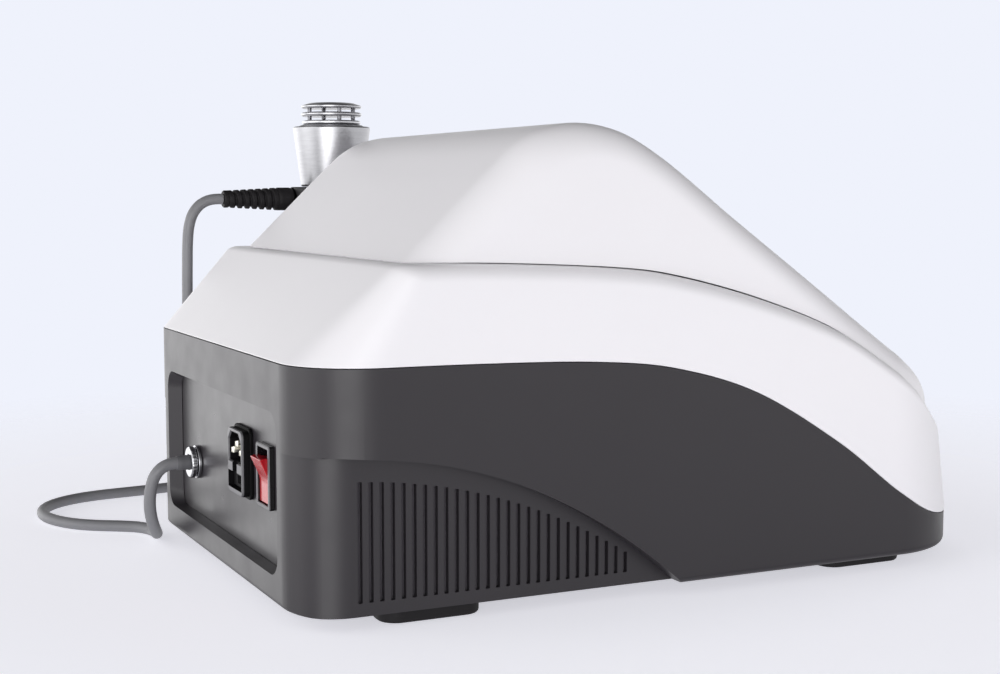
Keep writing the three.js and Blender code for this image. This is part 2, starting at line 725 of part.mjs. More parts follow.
add(
  "head_cone",
  turned(
    [[0, GRIP.top + GAP], [20.8, GRIP.top + GAP], [26, 252.6], [25.4, 253.4], [21.5, 253.7], [20.5, 254.6], [0, 254.6]],
    36,
    cupSpot,
  ),
  "aluminium",
);
const crown = [
  ["crown_base_ring", 254.9, 257.5, 19.6],
  ["crown_middle_ring", 260.2, 263, 20.4],
  ["crown_top_disc", 265.6, 269.5, 20.4],
];
const POST = { count: 4, radius: 1.6, circle: 15.5 };
const postSpots = Array.from({ length: POST.count }, (_, i) => {
  const a = (2 * Math.PI * i) / POST.count;
  return { x: GRIP.x + POST.circle * Math.cos(a), y: GRIP.y + POST.circle * Math.sin(a) };
});
for (const [name, from, to, radius] of crown) {
  const top = name === "crown_top_disc";
  const profile = top
    ? [[0, from], [radius, from], [radius, from + 1.6], [14, to], [0, to]]
    : [[0, from], [radius, from], [radius, to], [0, to]];
  let disc = turned(profile, 36, cupSpot);
  const holes = postSpots.map((spot) => rod(POST.radius + GAP, from - 1, top ? from + 1.4 : to + 1, 8, spot));
  for (const hole of holes) disc = disc.subtract(hole);
  add(name, disc, "aluminium");
}
postSpots.forEach((spot, i) => add(`crown_post_${i + 1}`, rod(POST.radius, 254.9, 266.7, 8, spot), "aluminium"));

// ---- cable --------------------------------------------------------------------------------------
// Route of the free cable, each stretch a smooth curve through chosen points.
const CABLE_LOWER = [
  [65, 210.8, 53.5], [65, 216, 53.1], [65.1, 221, 50.6], [65.8, 224.6, 45.6], [67.6, 226.2, 38],
  [71.2, 226, 29], [77.6, 223.6, 19.6], [87.2, 219.6, 11.6], [98.8, 215.8, 6.4], [110.6, 213.4, 4.1],
  [122, 214, 3.7], [132.2, 219.2, 3.7], [140, 228.6, 3.7], [147, 239.6, 3.7], [156, 250, 3.7],
  [167.8, 258.2, 3.7], [181.2, 263.4, 3.7], [195.2, 265.4, 3.7], [209.2, 263.6, 3.7], [222.2, 257.6, 3.7],
  [233.2, 248, 3.7], [241.4, 235.6, 3.7], [246.4, 221.4, 3.7], [249, 206.2, 3.7], [251, 190.2, 3.7],
  [253.8, 173.4, 3.7], [257.4, 156.4, 3.7], [261, 139.6, 3.7], [264, 123, 3.7], [266, 106.6, 3.7],
  [266.5, 91, 3.7],
];
const CABLE_UPPER = [
  [190, 146.4, 205], [190, 151, 205], [190, 156.6, 203.9], [190, 162, 200.8], [190, 166.4, 195.2],
  [190, 169, 187], [190, 170.1, 176], [190, 170.5, 163], [190, 170.8, 148], [190, 171, 130],
  [190, 171.3, 111], [190, 171.5, 92], [190, 171.2, 73], [189.9, 169.6, 56], [189.6, 165.6, 41.4],
  [189, 158.6, 28.6], [188.2, 148.4, 18.2], [187.2, 135.8, 11.6], [186.4, 122.6, 9.2],
  [185.8, 109, 9.1], [185.5, 91, 10.2],
];
function cableTube(route, steps) {
  const curve = new THREE.CatmullRomCurve3(
    route.map((p) => new THREE.Vector3(...p)),
    false,
    "centripetal",
  );
  const ring = new THREE.Shape(
    Array.from({ length: 8 }, (_, i) => {
      const a = (Math.PI * (2 * i + 1)) / 8;
      return point(CABLE_RADIUS * Math.cos(a), CABLE_RADIUS * Math.sin(a));
    }),
  );
  return solid(new THREE.ExtrudeGeometry(ring, { steps, extrudePath: curve, bevelEnabled: false }));
}
add("cable_lower", cableTube(CABLE_LOWER, 40), "cable");
add("cable_upper", cableTube(CABLE_UPPER, 26), "cable");
const inner = COIL.mean - COIL.width / 2;
const outer = COIL.mean + COIL.width / 2;
add(
  "cable_coil",
  turned(
    [
      [inner + 2, 0.2], [outer - 2, 0.2], [outer, 2.5], [outer, COIL.height - 2.5], [outer - 2, COIL.height],
      [inner + 2, COIL.height], [inner, COIL.height - 2.5], [inner, 2.5], [inner + 2, 0.2],
    ],
    32,
    { x: COIL.x, y: COIL.y },
  ),
  "cable",
);

export default device;
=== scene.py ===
"""Looks of a desktop ultrasound therapy unit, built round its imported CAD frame.

Lengths inside the script are millimetres in the unit's own frame: x = 0 is the middle of the housing,
+y points to the rear panel and z = 0 is the table. place() turns them into the row frame in metres.
"""

import math
from functools import partial

import bmesh
import bpy
import numpy as np
from mathutils import Matrix, Vector


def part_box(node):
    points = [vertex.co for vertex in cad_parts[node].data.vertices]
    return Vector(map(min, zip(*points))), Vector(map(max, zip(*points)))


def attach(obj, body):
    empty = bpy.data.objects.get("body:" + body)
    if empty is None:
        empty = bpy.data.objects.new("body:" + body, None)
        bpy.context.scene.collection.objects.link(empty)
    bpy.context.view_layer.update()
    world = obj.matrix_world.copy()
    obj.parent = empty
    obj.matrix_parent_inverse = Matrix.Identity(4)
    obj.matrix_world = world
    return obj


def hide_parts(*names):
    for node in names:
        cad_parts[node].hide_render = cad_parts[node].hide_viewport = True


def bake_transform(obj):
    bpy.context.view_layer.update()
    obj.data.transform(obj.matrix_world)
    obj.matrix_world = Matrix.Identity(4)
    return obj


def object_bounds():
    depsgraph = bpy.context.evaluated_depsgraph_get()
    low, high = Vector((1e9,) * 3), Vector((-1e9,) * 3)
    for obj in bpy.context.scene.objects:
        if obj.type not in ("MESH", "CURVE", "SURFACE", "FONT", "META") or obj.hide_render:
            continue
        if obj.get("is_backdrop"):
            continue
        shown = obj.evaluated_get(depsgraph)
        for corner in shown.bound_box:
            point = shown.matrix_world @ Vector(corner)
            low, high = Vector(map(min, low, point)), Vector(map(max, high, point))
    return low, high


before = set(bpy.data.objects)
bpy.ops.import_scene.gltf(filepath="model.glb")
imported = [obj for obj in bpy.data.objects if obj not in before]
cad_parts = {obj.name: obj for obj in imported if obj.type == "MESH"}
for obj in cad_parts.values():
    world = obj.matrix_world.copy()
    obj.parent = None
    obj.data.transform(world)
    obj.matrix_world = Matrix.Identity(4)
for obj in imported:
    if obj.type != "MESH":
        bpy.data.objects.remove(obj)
cad_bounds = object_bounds()

# ---- the unit's frame ----
REAR_Y = 205.5
base_lo, base_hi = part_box("base_housing")
HALF_WIDTH = (base_hi.x - base_lo.x) * 500
SHIFT = np.array([(base_lo.x + base_hi.x) / 2, base_hi.y - REAR_Y / 1000, 0])


def place(points):
    """Points of the unit, in mm, as points of the row frame, in metres."""
    return np.asarray(points, float) / 1000 + SHIFT


# ---- camera ----
EYE = (-828.5, 435.1, 209.6)
LOOK_RIGHT = Vector((-0.43475, -0.90055, 0.0))
LOOK_UP = Vector((0.0824, -0.03978, 0.9958))
LENS = 56.8


def make_camera():
    data = bpy.data.cameras.new("camera")
    data.lens = LENS
    data.sensor_width = 36
    data.clip_end = 50
    camera = bpy.data.objects.new("camera", data)
    bpy.context.scene.collection.objects.link(camera)
    back = LOOK_RIGHT.cross(LOOK_UP)
    turn = Matrix((LOOK_RIGHT, LOOK_UP, back)).transposed().to_4x4()
    camera.matrix_world = Matrix.Translation(place(EYE)) @ turn
    bpy.context.scene.camera = camera


make_camera()


# ---- materials ----
def srgb(*values):
    """8-bit screen colour as the linear colour that nodes take."""
    out = [v / 255 / 12.92 if v <= 10 else ((v / 255 + 0.055) / 1.055) ** 2.4 for v in values]
    return (*out, 1.0)


def feed(tree, value, socket):
    if isinstance(value, bpy.types.NodeSocket):
        tree.links.new(value, socket)
    else:
        socket.default_value = value


def add_node(tree, kind, inputs=(), **settings):
    node = tree.nodes.new(kind)
    for key, value in settings.items():
        setattr(node, key, value)
    for key, value in dict(inputs).items():
        feed(tree, value, node.inputs[key])
    return node


class Nodes:
    """Short names for the node calls that every material repeats."""

    def __init__(self, name):
        self.material = bpy.data.materials.new(name)
        self.material.use_nodes = True
        self.tree = self.material.node_tree
        self.shader = self.tree.nodes["Principled BSDF"]
        self.add = partial(add_node, self.tree)
        self.coords = self.add("ShaderNodeTexCoord").outputs["Object"]

    def math(self, operation, a, b=0.0):
        return self.add("ShaderNodeMath", {0: a, 1: b}, operation=operation).outputs[0]

    def noise(self, size_mm, detail=2.0, vector=None, roughness=0.5):
        inputs = {"Vector": vector or self.coords, "Scale": 1000 / size_mm}
        inputs |= {"Detail": detail, "Roughness": roughness}
        return self.add("ShaderNodeTexNoise", inputs).outputs["Fac"]

    def between(self, value, low, high, start=0.3, end=0.7):
        """value from start to end, as a number from low to high."""
        sockets = {"Value": value, "From Min": start, "From Max": end, "To Min": low, "To Max": high}
        return self.add("ShaderNodeMapRange", sockets).outputs[0]

    def blend(self, factor, a, b):
        return self.add("ShaderNodeMix", {0: factor, 6: a, 7: b}, data_type="RGBA").outputs[2]

    def bump(self, height, depth_mm, strength=1.0, over=None):
        inputs = {"Height": height, "Distance": depth_mm / 1000, "Strength": strength}
        if over is not None:
            inputs["Normal"] = over
        return self.add("ShaderNodeBump", inputs).outputs[0]

    def set(self, **inputs):
        for key, value in inputs.items():
            feed(self.tree, value, self.shader.inputs[key.replace("_", " ")])


def toned(colour, gain):
    return (*(min(1.0, c * gain) for c in colour[:3]), 1.0)


def plastic(name, colour, rough, grain=0.9, depth=0.012, mottle=0.04, specular=0.5, coat=0.0):
    """Moulded plastic: a fine spark-eroded grain, slow tone changes and uneven gloss."""
    n = Nodes(name)
    slow = n.noise(70, 3)
    speck = n.noise(2.2, 3, roughness=0.7)
    tone = n.blend(slow, toned(colour, 1 - mottle), toned(colour, 1 + mottle))
    tone = n.blend(n.between(speck, 0.0, mottle, 0.45, 0.75), tone, toned(colour, 0.7))
    gloss = n.between(n.noise(18, 3), rough - 0.03, rough + 0.03)
    wave = n.bump(n.noise(60, 1), 0.05, 0.25)
    n.set(Base_Color=tone, Roughness=gloss, Normal=n.bump(n.noise(grain, 2), depth, 0.5, wave))
    n.set(Specular_IOR_Level=specular, Coat_Weight=coat, Coat_Roughness=0.08)
    return n.material


def turned_metal(name, colour, rough, centre, axis=2, line=0.09, depth=0.006):
    """Metal turned on a lathe: fine lines that run round its axis through centre, in mm."""
    n = Nodes(name)
    local = n.add("ShaderNodeVectorMath", {0: n.coords, 1: tuple(place(centre))}, operation="SUBTRACT")
    x, y, z = n.add("ShaderNodeSeparateXYZ", {0: local.outputs[0]}).outputs
    axes = [x, y, z]
    along = axes.pop(axis)
    radius = n.math("SQRT", n.math("ADD", *(n.math("MULTIPLY", a, a) for a in axes)))
    angle = n.math("MULTIPLY", n.math("ARCTAN2", *axes), 0.002)
    rings = n.add("ShaderNodeCombineXYZ", {0: radius, 1: along, 2: angle}).outputs[0]
    lines = n.noise(line, 3, rings, 0.7)
    streaks = n.noise(line * 12, 3, rings)
    cloud = n.noise(14, 2)
    tone = n.blend(n.between(streaks, 0, 1), toned(colour, 0.94), toned(colour, 1.06))
    gloss = n.math("ADD", n.between(lines, rough - 0.06, rough + 0.06), n.between(cloud, -0.02, 0.03))
    n.set(Base_Color=tone, Metallic=1.0, Roughness=gloss, Normal=n.bump(lines, depth, 0.6))
    return n.material


def plain_metal(name, colour, rough):
    """Drawn or pressed metal with faint marks along its height."""
    n = Nodes(name)
    stretched = n.add("ShaderNodeMapping", {"Vector": n.coords, "Scale": (1, 1, 14)}).outputs[0]
    marks = n.noise(3.5, 4, stretched, 0.75)
    cloud = n.noise(9, 3)
    tone = n.blend(cloud, toned(colour, 0.9), toned(colour, 1.06))
    gloss = n.between(marks, rough - 0.05, rough + 0.09)
    n.set(Base_Color=tone, Metallic=1.0, Roughness=gloss, Normal=n.bump(marks, 0.01, 0.5))
    return n.material


WHITE = srgb(243, 241, 244)
GREY = srgb(46, 43, 47)
white_plastic = plastic("white_plastic", WHITE, 0.34, mottle=0.012, depth=0.006)
grey_plastic = plastic("grey_plastic", GREY, 0.36)
panel_plastic = plastic("panel_plastic", GREY, 0.3, mottle=0.02, depth=0.002)
black_plastic = plastic("black_plastic", srgb(22, 21, 23), 0.28)
# painted sheen: a mid grey standing for the strong light caught by the black faces of the inlet and switch
# frame
painted_sheen = plastic("painted_sheen", srgb(98, 97, 100), 0.36, depth=0.004)
socket_black = plastic("socket_black", srgb(13, 12, 13), 0.6, grain=1.2, specular=0.12)
rubber = plastic("rubber", srgb(26, 24, 26), 0.62, grain=0.6, depth=0.03, specular=0.3)


# ---- meshes ----
def new_object(verts, faces, name="solid"):
    mesh = bpy.data.meshes.new(name)
    mesh.from_pydata([tuple(v) for v in place(verts)], [], [tuple(int(i) for i in f) for f in faces])
    mesh.update()
    obj = bpy.data.objects.new(name, mesh)
    bpy.context.scene.collection.objects.link(obj)
    return obj


def tidy_mesh(obj, merge=0.01):
    """Joins points closer than merge mm and turns every face outwards."""
    work = bmesh.new()
    work.from_mesh(obj.data)
    bmesh.ops.remove_doubles(work, verts=work.verts, dist=merge / 1000)
    bmesh.ops.dissolve_degenerate(work, edges=work.edges, dist=1e-6)
    bmesh.ops.recalc_face_normals(work, faces=work.faces)
    work.to_mesh(obj.data)
    work.free()
    return obj


def bake_modifiers(obj):
    graph = bpy.context.evaluated_depsgraph_get()
    made = bpy.data.meshes.new_from_object(obj.evaluated_get(graph), depsgraph=graph)
    obj.modifiers.clear()
    old, obj.data = obj.data, made
    bpy.data.meshes.remove(old)
    return obj


def carve(obj, cutters, operation="DIFFERENCE", solver="MANIFOLD"):
    for cutter in cutters if isinstance(cutters, (list, tuple)) else [cutters]:
        step = obj.modifiers.new("carve", "BOOLEAN")
        step.object = cutter
        step.operation = operation
        step.solver = solver
        bake_modifiers(obj)
        bpy.data.objects.remove(cutter)
    return obj


def join(obj, others):
    return carve(obj, others, "UNION")


def bands(rows, n, closed=False):
    """Faces between neighbouring rows of n points; closed also joins the last row to the first."""
    return [
        (k * n + i, k * n + (i + 1) % n, (k + 1) % rows * n + (i + 1) % n, (k + 1) % rows * n + i)
        for k in range(rows if closed else rows - 1)
        for i in range(n)
    ]


def loft(rings):
    """A closed body through rings of equal point count, each a loop of [x, y, z]."""
    n = len(rings[0])
    last = (len(rings) - 1) * n
    ends = [tuple(range(n))[::-1], tuple(range(last, last + n))]
    return tidy_mesh(new_object(np.vstack(rings), bands(len(rings), n) + ends))


AXES = {"x": (1, 2, 0), "y": (0, 2, 1), "z": (0, 1, 2)}


def raised(outline, axis, height):
    """A flat outline placed square to an axis: [y, z] for x, [x, z] for y, [x, y] for z."""
    outline = np.asarray(outline, float)
    ring = np.zeros((len(outline), 3))
    a, b, c = AXES[axis]
    ring[:, a], ring[:, b], ring[:, c] = outline[:, 0], outline[:, 1], height
    return ring


def prism(outline, axis, start, end):
    """An outline pushed along an axis."""
    return loft([raised(outline, axis, start), raised(outline, axis, end)])


def rounded(x0, x1, y0, y1, radius, steps=8):
    corners = [(x1 - radius, y0 + radius, -90), (x1 - radius, y1 - radius, 0)]
    corners += [(x0 + radius, y1 - radius, 90), (x0 + radius, y0 + radius, 180)]
    out = []
    for cx, cy, start in corners:
        for i in range(steps + 1):
            a = math.radians(start + 90 * i / steps)
            out.append((cx + radius * math.cos(a), cy + radius * math.sin(a)))
    return out


def centred(x, y, width, height, radius, steps=8):
    return rounded(x - width / 2, x + width / 2, y - height / 2, y + height / 2, radius, steps)


def block(centre, size, radius, axis, levels, ease=1.0, steps=4):
    """A rounded block along an axis, from (place along it, how far the outline is drawn in) pairs.

    The corner radius shrinks by ease times the same amount.
    """
    (x, y), (width, height) = centre, size
    return loft([
        raised(centred(x, y, width - 2 * e, height - 2 * e, radius - ease * e, steps), axis, at)
        for at, e in levels
    ])


def brick(x0, x1, y0, y1, z0, z1):
    return prism([(x0, y0), (x1, y0), (x1, y1), (x0, y1)], "z", z0, z1)


def turned(profile, centre, axis="z", segments=64):
    """A body turned about an axis through centre, from [radius, height] pairs."""
    angles = np.arange(segments) * 2 * math.pi / segments
    circle = np.stack([np.cos(angles), np.sin(angles)], 1)
    middle = np.asarray(centre, float)[list(AXES[axis][:2])]
    rings = [raised(middle + max(r, 1e-4) * circle, axis, h) for r, h in profile]
    if np.allclose(profile[0], profile[-1]):
        faces = bands(len(rings) - 1, segments, closed=True)
        return tidy_mesh(new_object(np.vstack(rings[:-1]), faces))
    return loft(rings)


def rod(radius, low, high, centre, axis="z", segments=24):
    return turned([(0, low), (radius, low), (radius, high), (0, high)], centre, axis, segments)


def eased(profile, radius, steps=4):
    """A profile of [radius, height] pairs with every inner corner rounded."""
    pts = [np.asarray(p, float) for p in profile]
    out = [pts[0]]
    for before, here, after in zip(pts, pts[1:], pts[2:]):
        u, v = before - here, after - here
        room = min(np.linalg.norm(u), np.linalg.norm(v)) / 2
        if room < 1e-6:
            out.append(here)
            continue
        cut = min(radius, room)
        a, b = here + u / np.linalg.norm(u) * cut, here + v / np.linalg.norm(v) * cut
        for i in range(steps + 1):
            t = i / steps
            out.append((1 - t) ** 2 * a + 2 * t * (1 - t) * here + t * t * b)
    out.append(pts[-1])
    return out


def bevel(obj, width, segments=3, angle=35):
    step = obj.modifiers.new("bevel", "BEVEL")
    step.width = width / 1000
    step.segments = segments
    step.limit_method = "ANGLE"
    step.angle_limit = math.radians(angle)
    step.miter_outer = "MITER_ARC"
    step.harden_normals = True
    return obj


def shade(obj, angle=35):
    obj.data.shade_smooth()
    obj.data.set_sharp_from_angle(angle=math.radians(angle))
    return obj


def weigh(obj):
    step = obj.modifiers.new("normals", "WEIGHTED_NORMAL")
    step.keep_sharp = True
    return obj


def keep(obj, name, body, material, stands_for=(), angle=35, flat=False):
    """Names a finished piece, gives it its finish and hangs it on its CAD body; flat evens flat faces."""
    obj.name = name
    shade(obj, angle)
    if flat:
        bake_modifiers(weigh(obj))
    obj.data.name = name
    obj.data.materials.clear()
    obj.data.materials.append(material)
    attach(obj, body)
    if stands_for:
        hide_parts(*([stands_for] if isinstance(stands_for, str) else stands_for))
    return obj


# ---- curves ----
def through(points, steps=40, power=0.0):
    """A smooth curve through points; power 0.5 keeps it from looping where points are uneven."""
    p = np.asarray(points, float)
    p = np.vstack([2 * p[0] - p[1], p, 2 * p[-1] - p[-2]]) if power else np.vstack([p[0], p, p[-1]])
    out = []
    for i in range(1, len(p) - 2):
        p0, p1, p2, p3 = p[i - 1 : i + 3]
        gaps = [max(np.linalg.norm(b - a), 1e-9) ** power for a, b in ((p0, p1), (p1, p2), (p2, p3))]
        d0, d1, d2 = gaps
        m1 = (p2 - p1) - d1 * (p2 - p0) / (d0 + d1) + d1 * (p1 - p0) / d0
        m2 = (p2 - p1) - d1 * (p3 - p1) / (d1 + d2) + d1 * (p3 - p2) / d2
        if not power:
            m1, m2 = (p2 - p0) / 2, (p3 - p1) / 2
        t = np.arange(steps)[:, None] / steps
        out.append(
            (2 * t**3 - 3 * t**2 + 1) * p1
            + (t**3 - 2 * t**2 + t) * m1
            + (-2 * t**3 + 3 * t**2) * p2
            + (t**3 - t**2) * m2
        )
    out.append(p[-2][None])
    return np.vstack(out)


def lengths_along(path):
    """Distance along a path at each of its points."""
    return np.concatenate([[0], np.cumsum(np.linalg.norm(np.diff(path, axis=0), axis=1))])


def path_at(path, s, at):
    """Points of a path at the distances at, where s is the distance at each of its points."""
    return np.stack([np.interp(at, s, column) for column in path.T], 1)


def resampled(path, step):
    s = lengths_along(path)
    return path_at(path, s, np.linspace(0, s[-1], max(2, int(round(s[-1] / step)) + 1))), s[-1]


def tube(path, radius, around=20):
    """A round tube along path, with its ends closed."""
    tangents = np.gradient(path, axis=0)
    tangents /= np.linalg.norm(tangents, axis=1)[:, None]
    side = np.cross(tangents[0], [0.0, 0.0, 1.0])
    if np.linalg.norm(side) < 0.1:
        side = np.cross(tangents[0], [1.0, 0.0, 0.0])
    side /= np.linalg.norm(side)
    a = np.arange(around)[:, None] * 2 * math.pi / around
    rings = []
    for p, t in zip(path, tangents):
        side = side - t * (side @ t)
        side /= np.linalg.norm(side)
        rings.append(p + radius * (np.cos(a) * side + np.sin(a) * np.cross(t, side)))
    return loft(rings)


# ---- cable ----
CABLE_RADIUS = 3.5
CABLE_LOWER = [
    (65, 210.8, 53.5), (65, 216, 53.1), (65.1, 221, 50.6), (65.8, 224.6, 45.6), (67.6, 226.2, 38),
    (71.2, 226, 29), (77.6, 223.6, 19.6), (87.2, 219.6, 11.6), (98.8, 215.8, 6.4), (110.6, 213.4, 4.1),
    (122, 214, 3.7), (132.2, 219.2, 3.7), (140, 228.6, 3.7), (147, 239.6, 3.7), (156, 250, 3.7),
    (167.8, 258.2, 3.7), (181.2, 263.4, 3.7), (195.2, 265.4, 3.7), (209.2, 263.6, 3.7),
    (222.2, 257.6, 3.7), (233.2, 248, 3.7), (241.4, 235.6, 3.7), (246.4, 221.4, 3.7), (249, 206.2, 3.7),
    (251, 190.2, 3.7), (253.8, 173.4, 3.7), (257.4, 156.4, 3.7), (261, 139.6, 3.7), (264, 123, 3.7),
    (266, 106.6, 3.7), (266.5, 91, 3.7),
]
CABLE_UPPER = [
    (190, 146.4, 205), (190, 151, 205), (190, 156.6, 203.9), (190, 162, 200.8), (190, 166.4, 195.2),
    (190, 169, 187), (190, 170.1, 176), (190, 170.5, 163), (190, 170.8, 148), (190, 171, 130),
    (190, 171.3, 111), (190, 171.5, 92), (190, 171.2, 73), (189.9, 169.6, 56), (189.6, 165.6, 41.4),
    (189, 158.6, 28.6), (188.2, 148.4, 18.2), (187.2, 135.8, 11.6), (186.4, 122.6, 9.2),
    (185.8, 109, 9.1), (185.5, 91, 10.2),
]
COIL_CENTRE = (226, 66)
COIL_INNER, COIL_OUTER = 33.5, 40.5
COIL_LOW, COIL_HIGH = 3.7, 10.75
COIL_TURNS = 3.5
# degrees of winding over which the coil moves inwards, climbs on top of itself and moves out again
COIL_IN, COIL_CLIMB, COIL_OUT = (300, 360), (590, 660), (900, 960)
# two points on the lead, one towards the housing and one towards the applicator; make_cable places them but
# nothing uses them
FREE_FROM, FREE_TO = (190, 172, 70), (190, 146, 200)


def eased_step(value, start, end):
    t = np.clip((value - start) / (end - start), 0, 1)
    return t * t * (3 - 2 * t)


def coil_points():
    """Clockwise turns: outer and inner on the table, then inner and outer on top of them."""
    turned_by = np.arange(0, 360 * COIL_TURNS + 1, 12.0)
    inward = eased_step(turned_by, *COIL_IN) - eased_step(turned_by, *COIL_OUT)
    radius = COIL_OUTER + (COIL_INNER - COIL_OUTER) * inward
    height = COIL_LOW + (COIL_HIGH - COIL_LOW) * eased_step(turned_by, *COIL_CLIMB)
    a = np.radians(-turned_by)
    x, y = COIL_CENTRE
    return np.stack([x + radius * np.cos(a), y + radius * np.sin(a), height], 1)


def make_cable():
    route = np.vstack([CABLE_LOWER, coil_points(), CABLE_UPPER[::-1]])
    path, length = resampled(through(route, 12, 0.5), 2.5)
    cable = tube(path, CABLE_RADIUS)
    n = Nodes("cable_jacket")
    base = srgb(128, 128, 131)
    tone = n.blend(n.noise(40, 3), toned(base, 0.93), toned(base, 1.07))
    gloss = n.between(n.noise(9, 3), 0.4, 0.5)
    n.set(Base_Color=tone, Roughness=gloss, Normal=n.bump(n.noise(0.9, 3), 0.02, 0.5))
    cable.name = cable.data.name = "applicator_cable"
    shade(cable, 60)
    cable.data.materials.append(n.material)
    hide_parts("cable_lower", "cable_upper", "cable_coil")
    start, end = place([FREE_FROM, FREE_TO])
    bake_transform(cable)
    return cable, path, length


cable, cable_path, cable_length = make_cable()

# ---- floor and light ----
def make_floor():
    reach = 3000
    corners = [(-reach, -reach, 0), (reach, -reach, 0), (reach, reach, 0), (-reach, reach, 0)]
    floor = new_object(corners, [(0, 1, 2, 3)], "floor")
    n = Nodes("floor")
    far = n.add("ShaderNodeVectorMath", {0: n.coords}, operation="LENGTH").outputs["Value"]
    fade = n.between(far, 0.0, 1.0, 0.3, 0.8)
    n.set(Base_Color=srgb(238, 238, 241), Roughness=n.between(n.noise(120, 2), 0.3, 0.36))
    n.set(Specular_IOR_Level=0.0, Emission_Color=(0.53, 0.53, 0.57, 1.0), Emission_Strength=1.0)
    clear = n.add("ShaderNodeBsdfTransparent").outputs[0]
    mix = n.add("ShaderNodeMixShader", {0: fade, 1: n.shader.outputs[0], 2: clear})
    output = n.tree.nodes["Material Output"]
    n.tree.links.new(mix.outputs[0], output.inputs["Surface"])
    floor.data.materials.append(n.material)
    floor.visible_glossy = False
    floor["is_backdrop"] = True


# brightness of the surroundings by height, from 0 straight down through 0.5 level to 1 straight up
SKY_BANDS = ((0.36, 0.38), (0.43, 0.9), (0.5, 1.2), (0.57, 1.15), (0.66, 0.38), (0.8, 0.06))
# soft lamps: direction, full within and gone beyond these degrees, brightness
SOFT_LAMPS = (
    ((0.93, 0.36, 0.0), 9, 33, 0.9),
    ((-0.83, 0.55, 0.0), 4, 31, 2.4),
    ((-0.75, 0.25, 0.6), 5, 40, 0.45),
    ((0.15, 0.95, 0.26), 10, 45, 1.05),
)


def make_world():
    world = bpy.data.worlds.new("studio")
    bpy.context.scene.world = world
    world.use_nodes = True
    tree = world.node_tree
    tree.nodes.clear()
    node = partial(add_node, tree)
    direction = node("ShaderNodeTexCoord").outputs["Generated"]
    height = node("ShaderNodeSeparateXYZ", {0: direction}).outputs[2]
    level = node("ShaderNodeMapRange", {"Value": height, "From Min": -1.0}).outputs[0]
    ramp = node("ShaderNodeValToRGB", {0: level})
    stops = ramp.color_ramp.elements
    stops[0].position, stops[0].color = 0.0, (0.5, 0.5, 0.53, 1)
    stops[1].position, stops[1].color = 1.0, (0.03, 0.03, 0.033, 1)
    for position, tone in SKY_BANDS:
        stop = stops.new(position)
        stop.color = (tone, tone, tone * 1.02, 1)
    light = ramp.outputs[0]
    for aim, inner, outer, gain in SOFT_LAMPS:
        ends = {0: direction, 1: Vector(aim).normalized()}
        along = node("ShaderNodeVectorMath", ends, operation="DOT_PRODUCT")
        cone = {
            "Value": along.outputs["Value"], "From Min": math.cos(math.radians(outer)),
            "From Max": math.cos(math.radians(inner)), "To Max": gain,
        }
        glow = node("ShaderNodeMapRange", cone, interpolation_type="SMOOTHSTEP")
        light = node("ShaderNodeVectorMath", {0: light, 1: glow.outputs[0]}, operation="ADD").outputs[0]
    seen = node("ShaderNodeBackground", {0: srgb(239, 242, 252), 1: 1.0})
    lit = node("ShaderNodeBackground", {0: light, 1: 1.0})
    ray = node("ShaderNodeLightPath").outputs["Is Camera Ray"]
    mix = node("ShaderNodeMixShader", {0: ray, 1: lit.outputs[0], 2: seen.outputs[0]})
    node("ShaderNodeOutputWorld", {0: mix.outputs[0]})
    bpy.context.scene.view_settings.view_transform = "Standard"


make_floor()
make_world()

# ---- outline of the housing ----
FRONT_Y = -203
UNDERSIDE_Z = 8
SEAM_REAR_Z = 128
SHOULDER_Z = 175.7
REAR_RADIUS, TOP_CORNER_RADIUS, FRONT_RADIUS = 40, 14, 60
SEAM = [
    (240, 128), (205.5, 128), (118, 127.5), (52, 125.4), (5.5, 119.7), (-44, 104.4),
    (-97, 74.4), (-138.4, 44.4), (-167, 29.6), (-203, 25.6), (-240, 25.6),
]
SHOULDER = [
    (240, 175.7), (160, 175.7), (108, 175.3), (38, 171.7), (0, 166.4), (-50, 153.3),
    (-100, 134.5), (-147, 105.5), (-175, 84), (-203, 75), (-240, 72),
]


def height_along(points):
    """Height as a function of y, along a smooth curve through [y, z] points."""
    curve = through(points)[::-1]
    return lambda y: np.interp(y, curve[:, 0], curve[:, 1])


seam_at = height_along(SEAM)
shoulder_at = height_along(SHOULDER)


